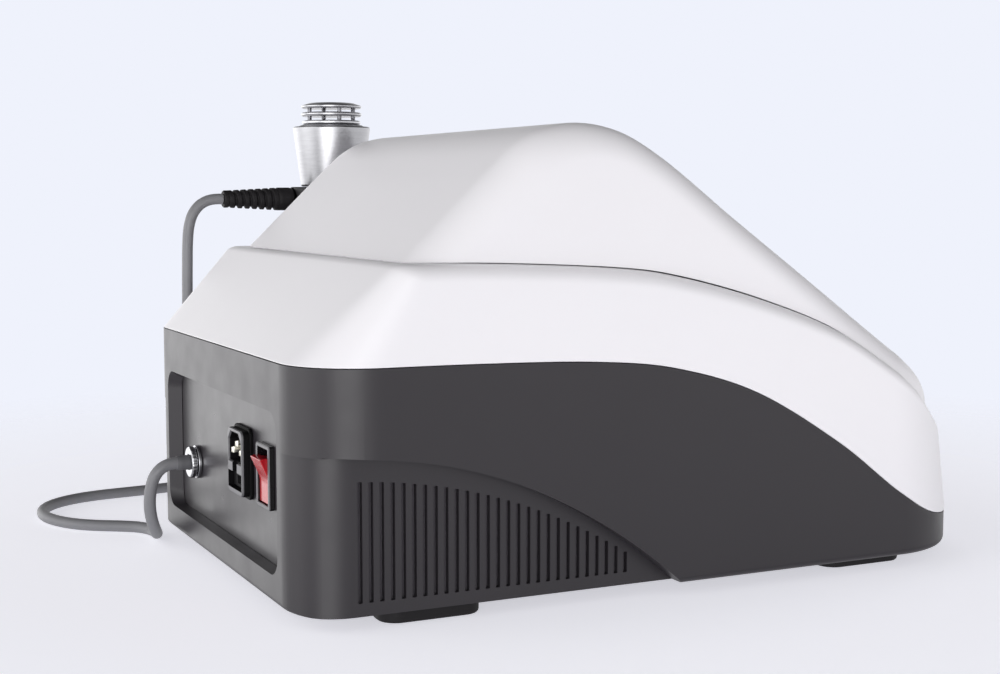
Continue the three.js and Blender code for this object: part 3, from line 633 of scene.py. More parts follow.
class Outline:
    """A closed level outline with rounded corners, point i always at the same place along it.

    Each point is a fixed mix of [half width, front radius, rear radius, front y, rear y], so the five
    may differ from point to point, as they do where every point has its own height.
    """

    def __init__(self, sides=72, front=24, rear=18, ends=24):
        xs, ys, normals, corners = [], [], [], []

        def run(count, x, y, normal):
            for i in range(count):
                t = i / count
                xs.append(x(t))
                ys.append(y(t))
                normals.append(normal(t))

        def bend(count, start, side, rear_end):
            """A quarter turn from start degrees; side is 1 or -1, and rear_end is 1 at the rear."""

            def at(t):
                a = math.radians(start + 90 * t)
                return math.cos(a), math.sin(a)

            def x(t):
                row = [side, 0, 0]
                row[1 + rear_end] = at(t)[0] - side
                return row

            def y(t):
                row = [0, 0, 0, 0]
                row[rear_end] = at(t)[1] - (2 * rear_end - 1)
                row[2 + rear_end] = 1
                return row

            run(count, x, y, at)

        run(sides, lambda t: [1, 0, 0], lambda t: [1 - t, -t, 1 - t, t], lambda t: (1, 0))
        bend(rear, 0, 1, 1)
        run(ends, lambda t: [1 - 2 * t, 0, 2 * t - 1], lambda t: [0, 0, 0, 1], lambda t: (0, 1))
        bend(rear, 90, -1, 1)
        run(sides, lambda t: [-1, 0, 0], lambda t: [t, t - 1, t, 1 - t], lambda t: (-1, 0))
        bend(front, 180, -1, 0)
        run(ends, lambda t: [2 * t - 1, 1 - 2 * t, 0], lambda t: [0, 0, 1, 0], lambda t: (0, -1))
        bend(front, 270, 1, 0)
        self.x, self.y, self.normals = np.array(xs), np.array(ys), np.array(normals, float)
        self.count = len(xs)

    def __call__(self, half, front_radius, rear_radius, front, rear):
        sizes = (half, front_radius, rear_radius, front, rear)
        half, front_radius, rear_radius, front, rear = (
            np.broadcast_to(np.asarray(v, float), self.count) for v in sizes
        )
        x = (self.x * np.stack([half, front_radius, rear_radius], 1)).sum(1)
        y = (self.y * np.stack([front_radius, rear_radius, front, rear], 1)).sum(1)
        return np.stack([x, y], 1)


def section(outline, z, inset=0.0):
    """Outline of the base and lower cover at height z, drawn in by inset; z may differ by point."""
    z = np.broadcast_to(np.asarray(z, float), outline.count)
    slope = np.maximum(0, z - SEAM_REAR_Z)
    taper = np.minimum(1, slope / (SHOULDER_Z - SEAM_REAR_Z))
    rear_radius = np.maximum(REAR_RADIUS + (TOP_CORNER_RADIUS - REAR_RADIUS) * taper - inset, 4)
    rear = REAR_Y - 1.02 * slope - inset
    front = FRONT_Y + 0.135 * np.clip(z - 30, 0, 80) + inset
    return outline(HALF_WIDTH - inset, FRONT_RADIUS - inset, rear_radius, front, rear)


def settled(outline, curve, inset=0.0, drop=0.0):
    """Height of each outline point that lies on a curve of height along y."""
    z = np.full(outline.count, 100.0)
    for _ in range(30):
        z = 0.5 * z + 0.5 * (curve(section(outline, z, inset)[:, 1]) - drop)
    return z


def thicken(obj, wall):
    step = obj.modifiers.new("wall", "SOLIDIFY")
    step.thickness = wall / 1000
    step.offset = -1
    step.use_rim = True
    return bake_modifiers(obj)


# ---- lower white cover ----
SEAM_GAP = 0.25
SHOULDER_ROUND = 8.5
COVER_WALL = 2.6
LEDGE_MIDDLE, LEDGE_SPAN = np.array([0, -20]), np.array([HALF_WIDTH - SHOULDER_ROUND, 170])


def make_mid_cover():
    outline = Outline()
    m = outline.normals
    bottom = settled(outline, seam_at) + SEAM_GAP
    top = settled(outline, shoulder_at)
    up, down = section(outline, top + 0.5), section(outline, top - 0.5)
    lean = np.arctan(np.maximum(0, -((up - down) * m).sum(1)))
    start = top - SHOULDER_ROUND * (1 - np.sin(lean))
    rows = []

    def row(xy, z):
        rows.append(np.column_stack([xy, z]))

    edge = 0.4
    row(section(outline, bottom, 2.4), bottom)
    for a in np.radians([90, 60, 30, 0]):
        z = bottom + edge * (1 - math.sin(a))
        row(section(outline, z, edge * (1 - math.cos(a))), z)
    for t in (0.006, *np.linspace(0.06, 1, 16)):
        z = bottom + edge + (start - bottom - edge) * t
        row(section(outline, z), z)
    wall = section(outline, start)
    for t in np.linspace(0, 1, 12)[1:]:
        tilt = lean + (math.pi / 2 - lean) * t
        inward = SHOULDER_ROUND * (np.cos(lean) - np.cos(tilt))
        xy = wall - m * inward[:, None]
        rise = SHOULDER_ROUND * (np.sin(tilt) - np.sin(lean))
        row(xy, start + rise + t * (shoulder_at(xy[:, 1]) - shoulder_at(wall[:, 1])))
    last = rows[-1][:, :2]

    def ledge(reach, drop):
        """The ledge under the hood, reach mm in from the shoulder."""
        xy = LEDGE_MIDDLE + (last - LEDGE_MIDDLE) * (1 - reach / LEDGE_SPAN)
        row(xy, shoulder_at(xy[:, 1]) - drop)

    for reach in (3, 6, 9, 12):
        ledge(reach, 0)
    for reach in (12, 6, 0):
        ledge(reach, COVER_WALL)
    for t in (1, 0.5, 0):
        z = bottom + 2 + (start - bottom - 2) * t
        row(section(outline, z, COVER_WALL), z)
    shell = new_object(np.vstack([*rows, rows[0]]), bands(len(rows) + 1, outline.count))
    cover = tidy_mesh(shell, 0.001)
    return keep(cover, "lower_cover", "housing", white_plastic, "mid_cover", 40)


# ---- hood ----
HOOD_HALF = HALF_WIDTH - 8
HOOD_FRONT_RADIUS = FRONT_RADIUS - 8
HOOD_FRONT_Y = -189.5
HOOD_WALL = 3
LEDGE_GAP = 0.35
HOOD_REAR = [(163, 162), (126, 197.5)]
HOOD_CREST = [(100, 222.5), (87, 234), (75, 240.5), (53, 244.5), (30.5, 241), (6.7, 229)]
HOOD_SLOPE = [(-40, 196.2), (-85, 165), (-130, 133.4)]
HOOD_NOSE = [(-168, 107), (-180, 97.5), (-187.5, 87), (-189.5, 76), (-189.6, 60)]


def hood_profile():
    """Side profile of the hood as dense points with their outward normals and the edge rounding there."""
    line = through([*HOOD_REAR, *HOOD_CREST, *HOOD_SLOPE, *HOOD_NOSE], 30, 0.5)
    s = lengths_along(line)
    line = path_at(line, s, np.linspace(0, s[-1], 700))
    for _ in range(12):
        line[1:-1] = 0.25 * line[:-2] + 0.5 * line[1:-1] + 0.25 * line[2:]
    d = np.gradient(line, axis=0)
    d /= np.linalg.norm(d, axis=1)[:, None]
    normals = np.stack([d[:, 1], -d[:, 0]], 1)
    radius = np.interp(line[:, 0], [-190, -100, 20, 80, 170], [17, 17, 17, 20, 20])
    return line, normals, radius


def make_hood():
    line, normals, radius = hood_profile()
    centres = line - normals * radius[:, None]
    foot = int(np.argmax(line[:, 1] > shoulder_at(line[:, 0]) + LEDGE_GAP))
    turn_y = HOOD_FRONT_Y + HOOD_FRONT_RADIUS
    ends_at = int(np.argmin(abs(centres[:, 0] - turn_y)))
    side = np.unique(np.concatenate([
        np.linspace(foot, foot + 40, 16), np.linspace(foot + 40, ends_at, 74)
    ]).astype(int))
    columns = []

    def column(x0, y0, m, i, r):
        """One path up the wall and over the edge: m is the outward direction in plan."""
        centre = np.array([x0, y0]) - r * np.asarray(m)
        c = np.array([centre[0], centre[1], centres[i, 1] if r else 0])
        a = np.array([m[0], m[1], 0.0])
        b = np.array([0.0, normals[i, 0], normals[i, 1]])
        angle = math.acos(max(-1, min(1, float(a @ b))))
        path = [c + r * a + [0, 0, drop] for drop in np.linspace(-90, -3, 30)]
        for t in np.linspace(0, 1, 40):
            if angle > 1e-3:
                n = (math.sin((1 - t) * angle) * a + math.sin(t * angle) * b) / math.sin(angle)
            else:
                n = a
            path.append(c + r * n)
        path = np.array(path)
        above = path[:, 2] - shoulder_at(path[:, 1]) - LEDGE_GAP
        if above[-1] <= 0:
            path = np.repeat(path[-1:], 2, 0)
        else:
            k = int(np.argmax(above > 0))
            if k:
                t = above[k] / (above[k] - above[k - 1])
                path = np.vstack([path[k] + t * (path[k - 1] - path[k]), path[k:]])
        # even spacing, finer over the edge than up the wall
        s = lengths_along(path)
        edge_length = min(s[-1], r * angle) if r else 0
        knee = s[-1] - edge_length
        at = np.concatenate([np.linspace(0, knee, 7)[:-1], np.linspace(knee, s[-1], 15)])
        columns.append(path_at(path, s, at))

    for i in side:
        column(HOOD_HALF, centres[i, 0], (1, 0), i, radius[i])

    def index_at(y):
        candidates = np.where(np.diff(np.sign(centres[:, 0] - y)) != 0)[0]
        return int(candidates[-1]) if len(candidates) else ends_at

    for t in np.linspace(0, 1, 27)[1:]:
        a = math.radians(-90 * t)
        m = (math.cos(a), math.sin(a))
        x0 = HOOD_HALF - HOOD_FRONT_RADIUS + HOOD_FRONT_RADIUS * m[0]
        y0 = turn_y + HOOD_FRONT_RADIUS * m[1]
        i = index_at(y0 - radius[-1] * m[1])
        column(x0, y0, m, i, radius[i])
    half = np.array(columns)
    k, rows, _ = half.shape
    across = 40
    mirror = half * [-1, 1, 1]
    front_x = np.linspace(half[-1, 0, 0], -half[-1, 0, 0], across + 1)
    front = np.repeat(half[-1:], across - 1, 0).copy()
    front[:, :, 0] = front_x[1:-1, None]
    loop = np.concatenate([half, front, mirror[::-1]])
    verts = loop.reshape(-1, 3)
    faces = []
    for c in range(len(loop) - 1):
        for j in range(rows - 1):
            a = c * rows + j
            faces.append((a, a + 1, a + rows + 1, a + rows))
    # the top, in straight rows across X between the two sides' last points
    top, extra, start = [], [], len(verts)
    for c in range(k):
        left, right = half[c, -1], mirror[c, -1]
        ids = [c * rows + rows - 1]
        if c == k - 1:
            ids += [(k + q) * rows + rows - 1 for q in range(across - 1)]
        else:
            for q in range(1, across):
                ids.append(start + len(extra))
                extra.append(left + (right - left) * q / across)
        ids.append((len(loop) - 1 - c) * rows + rows - 1)
        top.append(ids)
    for c in range(k - 1):
        for q in range(across):
            faces.append((top[c][q], top[c][q + 1], top[c + 1][q + 1], top[c + 1][q]))
    return tidy_mesh(new_object(np.vstack([verts, np.array(extra)]), faces), 0.15)


SLOPE_Y, SLOPE_Z = -84.6, 165.2
SLOPE_ANGLE = math.atan2(127.5, 182.7)
GLASS_WIDTH, GLASS_HEIGHT = 228, 168


def on_slope(points):
    """Points given as [across, up the slope, out of the glass] in the unit's frame."""
    p = np.asarray(points, float)
    c, s = math.cos(SLOPE_ANGLE), math.sin(SLOPE_ANGLE)
    across, up, out = p.T
    return np.column_stack([across, SLOPE_Y + c * up - s * out, SLOPE_Z + s * up + c * out])


def slope_plate(width, height, radius, low, high, lip=0.0):
    levels = [(low, 0), (high - lip, 0), (high, lip)] if lip else [(low, 0), (high, 0)]
    return loft([
        on_slope(raised(centred(0, 0, width - 2 * e, height - 2 * e, radius - e), "z", at))
        for at, e in levels
    ])


def finish_hood():
    hood = thicken(make_hood(), HOOD_WALL)
    tidy_mesh(hood, 0.002)
    carve(hood, slope_plate(GLASS_WIDTH + 1, GLASS_HEIGHT + 1, 6.5, -2.2, 8), solver="EXACT")
    carve(hood, slope_plate(208, 156, 3, -14, 8), solver="EXACT")
    return keep(hood, "hood", "housing", white_plastic, "top_cover", 40)


make_mid_cover()
finish_hood()


# ---- grey base ----
WALL = 3
REAR_WALL = 6.7
EDGE_ROUND = 4
RECESS_DEPTH = 12
RECESS_START_Y, RECESS_END_Y, RECESS_HEIGHT = 196, 1.6, 78
RECESS_POWER = 2.15
VENT_X = HALF_WIDTH - RECESS_DEPTH
SLOT_COUNT, SLOT_PITCH, SLOT_WIDTH, SLOT_FIRST_Y, SLOT_BOTTOM_Z = 27, 5.58, 2.3, 175, 14.5
SLOT_REACH, SLOT_RISE = 0.87, 5.8  # a slot's top: this share of the recess's height, plus this
# boxes [x0, x1, z0, z1]: the rear window at the wall's face and at the panel, and the panel's plate
WINDOW_MOUTH = (-105, 106, 22.6, 103.5)
WINDOW_SEAT = (-99, 99, 23.5, 100.5)
PANEL_PLATE = (-108, 108, 17, 109.5)
WINDOW_RADIUS, WINDOW_LIP = 11, 3
PANEL_Y, PANEL_BACK = 198.5, 196.5
PAST_FACE = 1.5  # how far the window's cutter stands out of the wall


def recess_top(y):
    """Height of the vent recess, which falls from the rear to the front along a power curve."""
    forward = (RECESS_START_Y - y) / (RECESS_START_Y - RECESS_END_Y)
    return UNDERSIDE_Z + RECESS_HEIGHT * (1 - forward**RECESS_POWER)


def recess_cutter(side, grow=0.0):
    ys = np.linspace(RECESS_END_Y, RECESS_START_Y, 60)
    arch = [(y, recess_top(y) + grow) for y in ys]
    arch[0:1] = [(RECESS_END_Y - grow, -10), (RECESS_END_Y - grow, arch[0][1])]
    arch += [(RECESS_START_Y + 40, arch[-1][1]), (RECESS_START_Y + 40, -10)]
    inner, outer = side * (VENT_X - grow), side * 180
    return prism(arch, "x", min(inner, outer), max(inner, outer))


def corner_cutter(side, grow=0.0):
    """Carries the vent recess round the rear corner, on a tighter radius than the housing's own."""
    inner, radius = VENT_X - grow, REAR_RADIUS - RECESS_DEPTH - grow
    start = REAR_Y - REAR_RADIUS + RECESS_DEPTH
    quarter = np.linspace(0, math.pi / 2, 20)
    arc = [(inner - radius + radius * math.cos(a), start + radius * math.sin(a)) for a in quarter]
    plan = [(180, start), *arc, (arc[-1][0], 240), (180, 240)]
    return prism([(side * x, y) for x, y in plan], "z", -10, recess_top(start) + grow)


def seam_cutter():
    ys = np.linspace(-240, 240, 150)
    return prism([(y, seam_at(y) - 0.15) for y in ys] + [(240, -40), (-240, -40)], "x", -180, 180)


def base_loft(levels):
    outline = Outline(sides=1, front=28, rear=28, ends=1)
    return loft([raised(section(outline, z, inset), "z", z) for z, inset in levels])


def make_base():
    curve = [(UNDERSIDE_Z + EDGE_ROUND * (1 - math.cos(t)), EDGE_ROUND * (1 - math.sin(t)))
             for t in np.radians([0, 18, 36, 54, 72, 90])]
    base = base_loft([*curve, (30, 0), (45, 0), (SEAM_REAR_Z, 0)])
    floor = UNDERSIDE_Z + WALL
    walls = [(z, WALL) for z in (floor + 2, 30, 45, SEAM_REAR_Z + 6)]
    hollow = base_loft([(floor, WALL + 1), *walls])
    carve(hollow, brick(-180, 180, REAR_Y - REAR_WALL, 230, 0, 200))
    for side in (-1, 1):
        carve(hollow, [recess_cutter(side, WALL), corner_cutter(side, WALL)])
    carve(base, hollow)
    for side in (-1, 1):
        carve(base, [recess_cutter(side), corner_cutter(side)])
    carve(base, seam_cutter(), "INTERSECT")
    inner = rounded(*WINDOW_SEAT, WINDOW_RADIUS - WINDOW_LIP, 10)
    outer = rounded(*WINDOW_MOUTH, WINDOW_RADIUS, 10)
    k = PAST_FACE / (REAR_Y - PANEL_Y)
    past = [(a + (a - c) * k, b + (b - d) * k) for (a, b), (c, d) in zip(outer, inner)]
    levels = ((inner, PANEL_Y - 3), (inner, PANEL_Y), (past, REAR_Y + PAST_FACE))
    carve(base, loft([raised(outline, "y", y) for outline, y in levels]))
    slots = []
    half = SLOT_WIDTH / 2
    for i in range(SLOT_COUNT):
        y = SLOT_FIRST_Y - SLOT_PITCH * i
        top = SLOT_REACH * (recess_top(y) - UNDERSIDE_Z) + SLOT_RISE
        slots.append(rounded(y - half, y + half, SLOT_BOTTOM_Z, top, 0.5, 4))
    for side in (-1, 1):
        for outline in slots:
            a, b = sorted((side * (VENT_X + 3), side * (VENT_X - WALL - 2)))
            carve(base, prism(outline, "x", a, b))
    tidy_mesh(base, 0.02)
    bevel(base, 0.7, 3, 38)
    weigh(bake_modifiers(base))
    keep(base, "base_shell", "housing", grey_plastic, "base_housing", 40)
    # painted shade: a dull grey sheet inside each vent recess, just behind the slots, coloured to stand for
    # the shade seen through them
    ys = np.linspace(RECESS_END_Y + 14, 182, 30)
    shape = [(y, max(12, recess_top(y) - 4)) for y in ys] + [(182, 12), (ys[0], 12)]
    for side, word in ((-1, "left"), (1, "right")):
        a, b = sorted((side * (VENT_X - WALL - 0.2), side * (VENT_X - WALL - 1.4)))
        keep(prism(shape, "x", a, b), f"vent_shade_sheet_{word}", "housing", slot_shade_sheet)


# painted shade: this grey stands for the dim interior seen through the vent slots
slot_shade_sheet = plastic("slot_shade_sheet", srgb(84, 81, 86), 0.8, grain=0.5, depth=0.08, specular=0.2)
make_base()


# ---- rear panel and its fittings ----
INLET_X, INLET_Z, INLET_WIDTH, INLET_HEIGHT, INLET_FACE = -30, 68.5, 26.6, 34.6, 204.5
CAVITY_Z, CAVITY_WIDTH, CAVITY_HEIGHT, CAVITY_CUT, CAVITY_FLOOR = 76, 22, 15.4, 4, 188
PIN_TIP = 203.9
DRAWER_Z, DRAWER_WIDTH, DRAWER_HEIGHT, DRAWER_BACK = 58.5, 23.4, 8.4, 183.5
SWITCH_X, SWITCH_Z, SWITCH_WIDTH, SWITCH_HEIGHT, SWITCH_FACE = -69, 67, 22, 32.5, 201.5
SWITCH_OPENING = (17.2, 28.6)
SOCKET_X, SOCKET_Z = 65, 53.5


def hexagon_cut(x, z, width, height, cut, grow=0.0):
    """Outline of a mains socket: a rectangle whose two upper corners are cut off."""
    a, b, c = width / 2 + grow, height / 2 + grow, cut + grow * 0.6
    top = [(x + a, z + b - c), (x + a - c, z + b), (x - a + c, z + b), (x - a, z + b - c)]
    return [(x - a, z - b), (x + a, z - b), *top]


def paint_sheen_face(obj, material, from_y, facing):
    """Painted sheen: a lighter second material on the faces beyond from_y that look to the rear, standing
    for the light they catch.
    """
    obj.data.materials.append(material)
    limit = place((0, from_y, 0))[1]
    for polygon in obj.data.polygons:
        if polygon.normal.y > facing and polygon.center.y > limit:
            polygon.material_index = 1


def make_panel():
    plate = prism(rounded(*PANEL_PLATE, 4), "y", PANEL_BACK, PANEL_Y)
    cuts = [
        brick(INLET_X - 12.5, INLET_X + 12.5, 190, 205, INLET_Z - 16.5, INLET_Z + 16.5),
        brick(SWITCH_X - 10, SWITCH_X + 10, 190, 205, SWITCH_Z - 15, SWITCH_Z + 15),
        prism(centred(SOCKET_X, SOCKET_Z, 13.2, 13.2, 6.55, 10), "y", 190, 205),
    ]
    carve(plate, cuts)
    bake_modifiers(bevel(plate, 0.25, 2))
    keep(plate, "connector_panel", "housing", panel_plastic, "rear_panel", flat=True)


def make_inlet():
    y, middle = PANEL_Y, (INLET_X, INLET_Z)
    rim = (INLET_WIDTH + 3, INLET_HEIGHT + 3)
    flange = block(middle, rim, 4, "y", ((y + 0.3, 0), (y + 1.5, 0), (y + 1.8, 0.3)), steps=8)
    levels = ((y + 1, 0), (INLET_FACE - 1.1, 0), (INLET_FACE - 0.3, 0.35), (INLET_FACE, 1))
    front = block(middle, (INLET_WIDTH, INLET_HEIGHT), 3.4, "y", levels, steps=8)
    rear = brick(INLET_X - 12.2, INLET_X + 12.2, 178, y + 1, INLET_Z - 16.2, INLET_Z + 16.2)
    body = join(flange, [front, rear])
    cavity = loft([
        raised(hexagon_cut(INLET_X, CAVITY_Z, CAVITY_WIDTH, CAVITY_HEIGHT, CAVITY_CUT, g), "y", h)
        for h, g in ((CAVITY_FLOOR, 0.0), (INLET_FACE - 0.9, 0.0), (INLET_FACE + 0.1, 0.7))
    ])
    # the tongue that the drawer's thumb slot leaves between the socket and the drawer
    gap = brick(INLET_X - 4, INLET_X + 4, INLET_FACE - 2.2, INLET_FACE + 1, DRAWER_Z + 2, CAVITY_Z - 6)
    w, h = DRAWER_WIDTH / 2 + 0.3, DRAWER_HEIGHT / 2 + 0.3
    pocket = brick(INLET_X - w, INLET_X + w, DRAWER_BACK - 0.3, INLET_FACE + 2, DRAWER_Z - h, DRAWER_Z + h)
    carve(body, [cavity, pocket, gap])
    bake_modifiers(bevel(body, 0.2, 2))
    keep(body, "mains_inlet", "housing", socket_black, "inlet_body", flat=True)
    # painted sheen: the inlet's rear-facing face takes a lighter grey for the light it catches
    paint_sheen_face(body, painted_sheen, INLET_FACE - 0.75, 0.3)
    levels = ((CAVITY_FLOOR + 0.3, 0), (PIN_TIP - 1.3, 0), (PIN_TIP - 0.5, 0.3), (PIN_TIP, 0.7))
    for word, dx, dz in (("earth", 0, 2), ("line", -7, -2), ("neutral", 7, -2)):
        blade = block((INLET_X + dx, CAVITY_Z + dz), (2, 4), 0.5, "y", levels, 0.5)
        keep(blade, f"pin_{word}", "housing", pin_metal, f"inlet_pin_{word}")


FUSE_RADIUS = 2.6


def make_drawer():
    x, z = INLET_X, DRAWER_Z
    h = DRAWER_HEIGHT / 2
    levels = ((DRAWER_BACK, 0.4), (DRAWER_BACK + 0.5, 0), (INLET_FACE - 3.4, 0), (INLET_FACE - 2.8, 0.5))
    body = block((x, z), (DRAWER_WIDTH, DRAWER_HEIGHT), 0.8, "y", levels, 0.5)
    fuse_bed = brick(x - 10.6, x + 10.6, DRAWER_BACK + 2, DRAWER_BACK + 9, z - 3.2, z + h + 2)
    thumb_slot = block((x, z), (7, 3.2), 0.6, "y", ((INLET_FACE - 4.8, 0), (INLET_FACE - 2, -0.8)), 0)
    carve(body, [fuse_bed, thumb_slot])
    bake_modifiers(bevel(body, 0.12, 2))
    keep(body, "fuse_tray_drawer", "fuse_tray", socket_black, "fuse_drawer", flat=True)
    y = DRAWER_BACK + 5.5
    half = [(0, 10), (FUSE_RADIUS, 10), (FUSE_RADIUS, 5), (FUSE_RADIUS - 0.25, 5)]
    profile = [(r, x - along) for r, along in half] + [(r, x + along) for r, along in half[::-1]]
    glass = turned(eased(profile, 0.25, 2), (0, y, z), "x", 32)
    keep(glass, "glass_fuse", "fuse_tray", fuse_finish, "fuse")


def make_switch():
    x, z, y = SWITCH_X, SWITCH_Z, PANEL_Y
    levels = ((y + 0.3, 0), (SWITCH_FACE - 0.5, 0), (SWITCH_FACE, 0.5))
    frame_part = block((x, z), (SWITCH_WIDTH, SWITCH_HEIGHT), 1.3, "y", levels, 0.5)
    rear = brick(x - 9.6, x + 9.6, 178, SWITCH_FACE - 1, z - 14.6, z + 14.6)
    body = join(frame_part, rear)
    levels = ((180, 0), (SWITCH_FACE - 0.3, 0), (SWITCH_FACE + 0.1, -0.4))
    carve(body, block((x, z), SWITCH_OPENING, 0.6, "y", levels))
    keep(body, "switch_frame", "housing", black_plastic, "switch_bezel", flat=True)
    # painted sheen: the frame's rear-facing face takes a lighter grey for the light it catches
    paint_sheen_face(body, painted_sheen, SWITCH_FACE - 0.4, 0.5)


ROCKER_PIVOT_Y, ROCKER_TIP, ROCKER_WIDTH, ROCKER_HALF, ROCKER_CREST = 192.5, 12, 16.4, 12, 8


def make_rocker():
    """A curved V about its pivot, tipped so that its lower half is pressed in."""
    tip = math.radians(ROCKER_TIP)
    rise = ROCKER_CREST + ROCKER_HALF * math.tan(tip)

    def turn(y, z):
        c, s = math.cos(tip), math.sin(tip)
        return ROCKER_PIVOT_Y + y * c + z * s, SWITCH_Z + z * c - y * s

    face = eased([(rise, -ROCKER_HALF), (ROCKER_CREST, 0), (rise, ROCKER_HALF)], 2.5, 6)
    outline = [(-6, -6), (rise - 3.2, -ROCKER_HALF), *face, (rise - 3.2, ROCKER_HALF), (-6, 6)]
    a, b = SWITCH_X - ROCKER_WIDTH / 2, SWITCH_X + ROCKER_WIDTH / 2
    body = prism([turn(*p) for p in outline], "x", a, b)
    bake_modifiers(bevel(body, 0.45, 4, 30))
    keep(body, "rocker_key", "rocker", rocker_red, "power_rocker", 30, flat=True)


FLUTES, FLUTE_DEPTH = 24, 0.28


def make_socket():
    spot = (SOCKET_X, 0, SOCKET_Z)
    barrel = [(0, 184), (6.2, 184), (6.2, 198.8), (9.6, 198.8), (9.6, 200.6), (6.0, 200.8)]
    for i in range(3):
        y = 201.0 + 0.8 * i
        barrel += [(5.7, y + 0.2), (6.0, y + 0.6)]
    barrel += [(6.0, 203.6), (0, 203.6)]
    jack = turned(eased(barrel, 0.3, 3), spot, "y", 72)
    keep(jack, "panel_jack", "housing", chrome, "panel_socket", 40)
    ring = [
        (6.4, 201), (8.4, 201), (9.2, 201.7), (9.2, 203.7), (8.5, 204.4), (4.7, 204.4), (4.7, 203.9),
        (6.4, 203.9), (6.4, 201),
    ]
    body = turned(eased(ring, 0.25, 3) + [ring[0]], spot, "y", 144)
    # grip flutes round the ring
    for v in body.data.vertices:
        p = (np.array(v.co) - SHIFT) * 1000
        dx, dz = p[0] - SOCKET_X, p[2] - SOCKET_Z
        r = math.hypot(dx, dz)
        if r > 8.9 and 201.6 < p[1] < 203.8:
            cut = FLUTE_DEPTH * (0.5 + 0.5 * math.cos(FLUTES * math.atan2(dz, dx))) ** 2
            k = (r - cut) / r
            v.co = Vector(place((SOCKET_X + dx * k, p[1], SOCKET_Z + dz * k)))
    keep(body, "lock_ring", "ring", chrome, "coupling_ring", 50)
    plug = [(0, 203.8), (4.3, 203.8), (4.3, 209.4), (4, 211.4), (3.75, 211.4), (3.75, 210.2), (0, 210.2)]
    boot = turned(eased(plug, 0.3, 3), spot, "y", 48)
    return keep(boot, "cable_end", "housing", grey_boot, "cable_plug", 40)


pin_metal = plain_metal("pin_metal", srgb(205, 202, 190), 0.2)
chrome = turned_metal("chrome_ring", srgb(196, 196, 200), 0.12, (SOCKET_X, 0, SOCKET_Z), axis=1, depth=0.003)
grey_boot = plastic("grey_boot", srgb(98, 98, 101), 0.5, depth=0.02)
fuse_finish = plastic("fuse_finish", srgb(225, 219, 204), 0.25)
rocker_red = plastic("rocker_red", srgb(184, 16, 30), 0.2, grain=1.5, depth=0.0005, specular=0.6, coat=0.3)
make_panel()
make_inlet()
make_drawer()
make_switch()
make_rocker()
cable_end = make_socket()


# ---- applicator ----
GRIP_X, GRIP_Y, GRIP_TOP, GRIP_FACE, GRIP_OUTLET = 190, 70, 213, 116.3, 205
CUP_RADIUS, CUP_BORE, CUP_BOTTOM, CUP_FLOOR, CUP_TOP = 36.5, 33.5, 112, 4, 178
ARM_Z = 152
POST_COUNT, POST_RADIUS, POST_CIRCLE = 4, 1.6, 15.5
spot = (GRIP_X, GRIP_Y, 0)
aluminium = turned_metal("aluminium", srgb(186, 186, 189), 0.3, spot)
crown_metal = turned_metal("crown_metal", srgb(214, 214, 217), 0.24, spot, line=0.07)
face_metal = turned_metal("face_metal", srgb(208, 208, 210), 0.16, spot, line=0.12)
steel = plain_metal("steel", srgb(165, 166, 170), 0.34)
grip_black = plastic("grip_black", srgb(30, 29, 31), 0.42, grain=1.1, depth=0.03)


def make_head():
    cone = [
        (0, GRIP_TOP + 0.3), (20.2, GRIP_TOP + 0.3), (20.9, 214.2), (26, 252.4), (25.4, 253.3),
        (21.8, 253.6), (20.6, 254.5), (0, 254.6),
    ]
    head = turned(eased(cone, 0.6, 4), spot, "z", 128)
    keep(head, "head", "applicator", aluminium, "head_cone", 50)
    z, top = GRIP_FACE, GRIP_FACE + 6
    face = [(0, z), (28.5, z), (30.5, z + 2), (30.5, top), (0, top)]
    disc = turned(eased(face, 1.2, 5), spot, "z", 96)
    keep(disc, "sound_face", "applicator", face_metal, "treatment_face", 50)
    bottom = GRIP_FACE + 6.3
    shell = [
        (27.5, bottom), (30.4, bottom), (31, bottom + 0.6), (31, 146), (30, 153), (28.5, 160), (28.5, 176),
        (28.1, 177), (28.1, 178.4), (28.5, 179.4), (28.5, GRIP_TOP - 1), (27.5, GRIP_TOP), (8, GRIP_TOP),
        (8, GRIP_TOP - 4), (25, GRIP_TOP - 4), (25, 160), (27.5, 146), (27.5, bottom),
    ]
    body = turned(eased(shell, 0.8, 3) + [shell[0]], spot, "z", 96)
    carve(body, rod(7.7, GRIP_Y + 20, GRIP_Y + 40, (GRIP_X, 0, GRIP_OUTLET), "y", 40))
    keep(body, "grip", "applicator", grip_black, "grip_shell", 40)


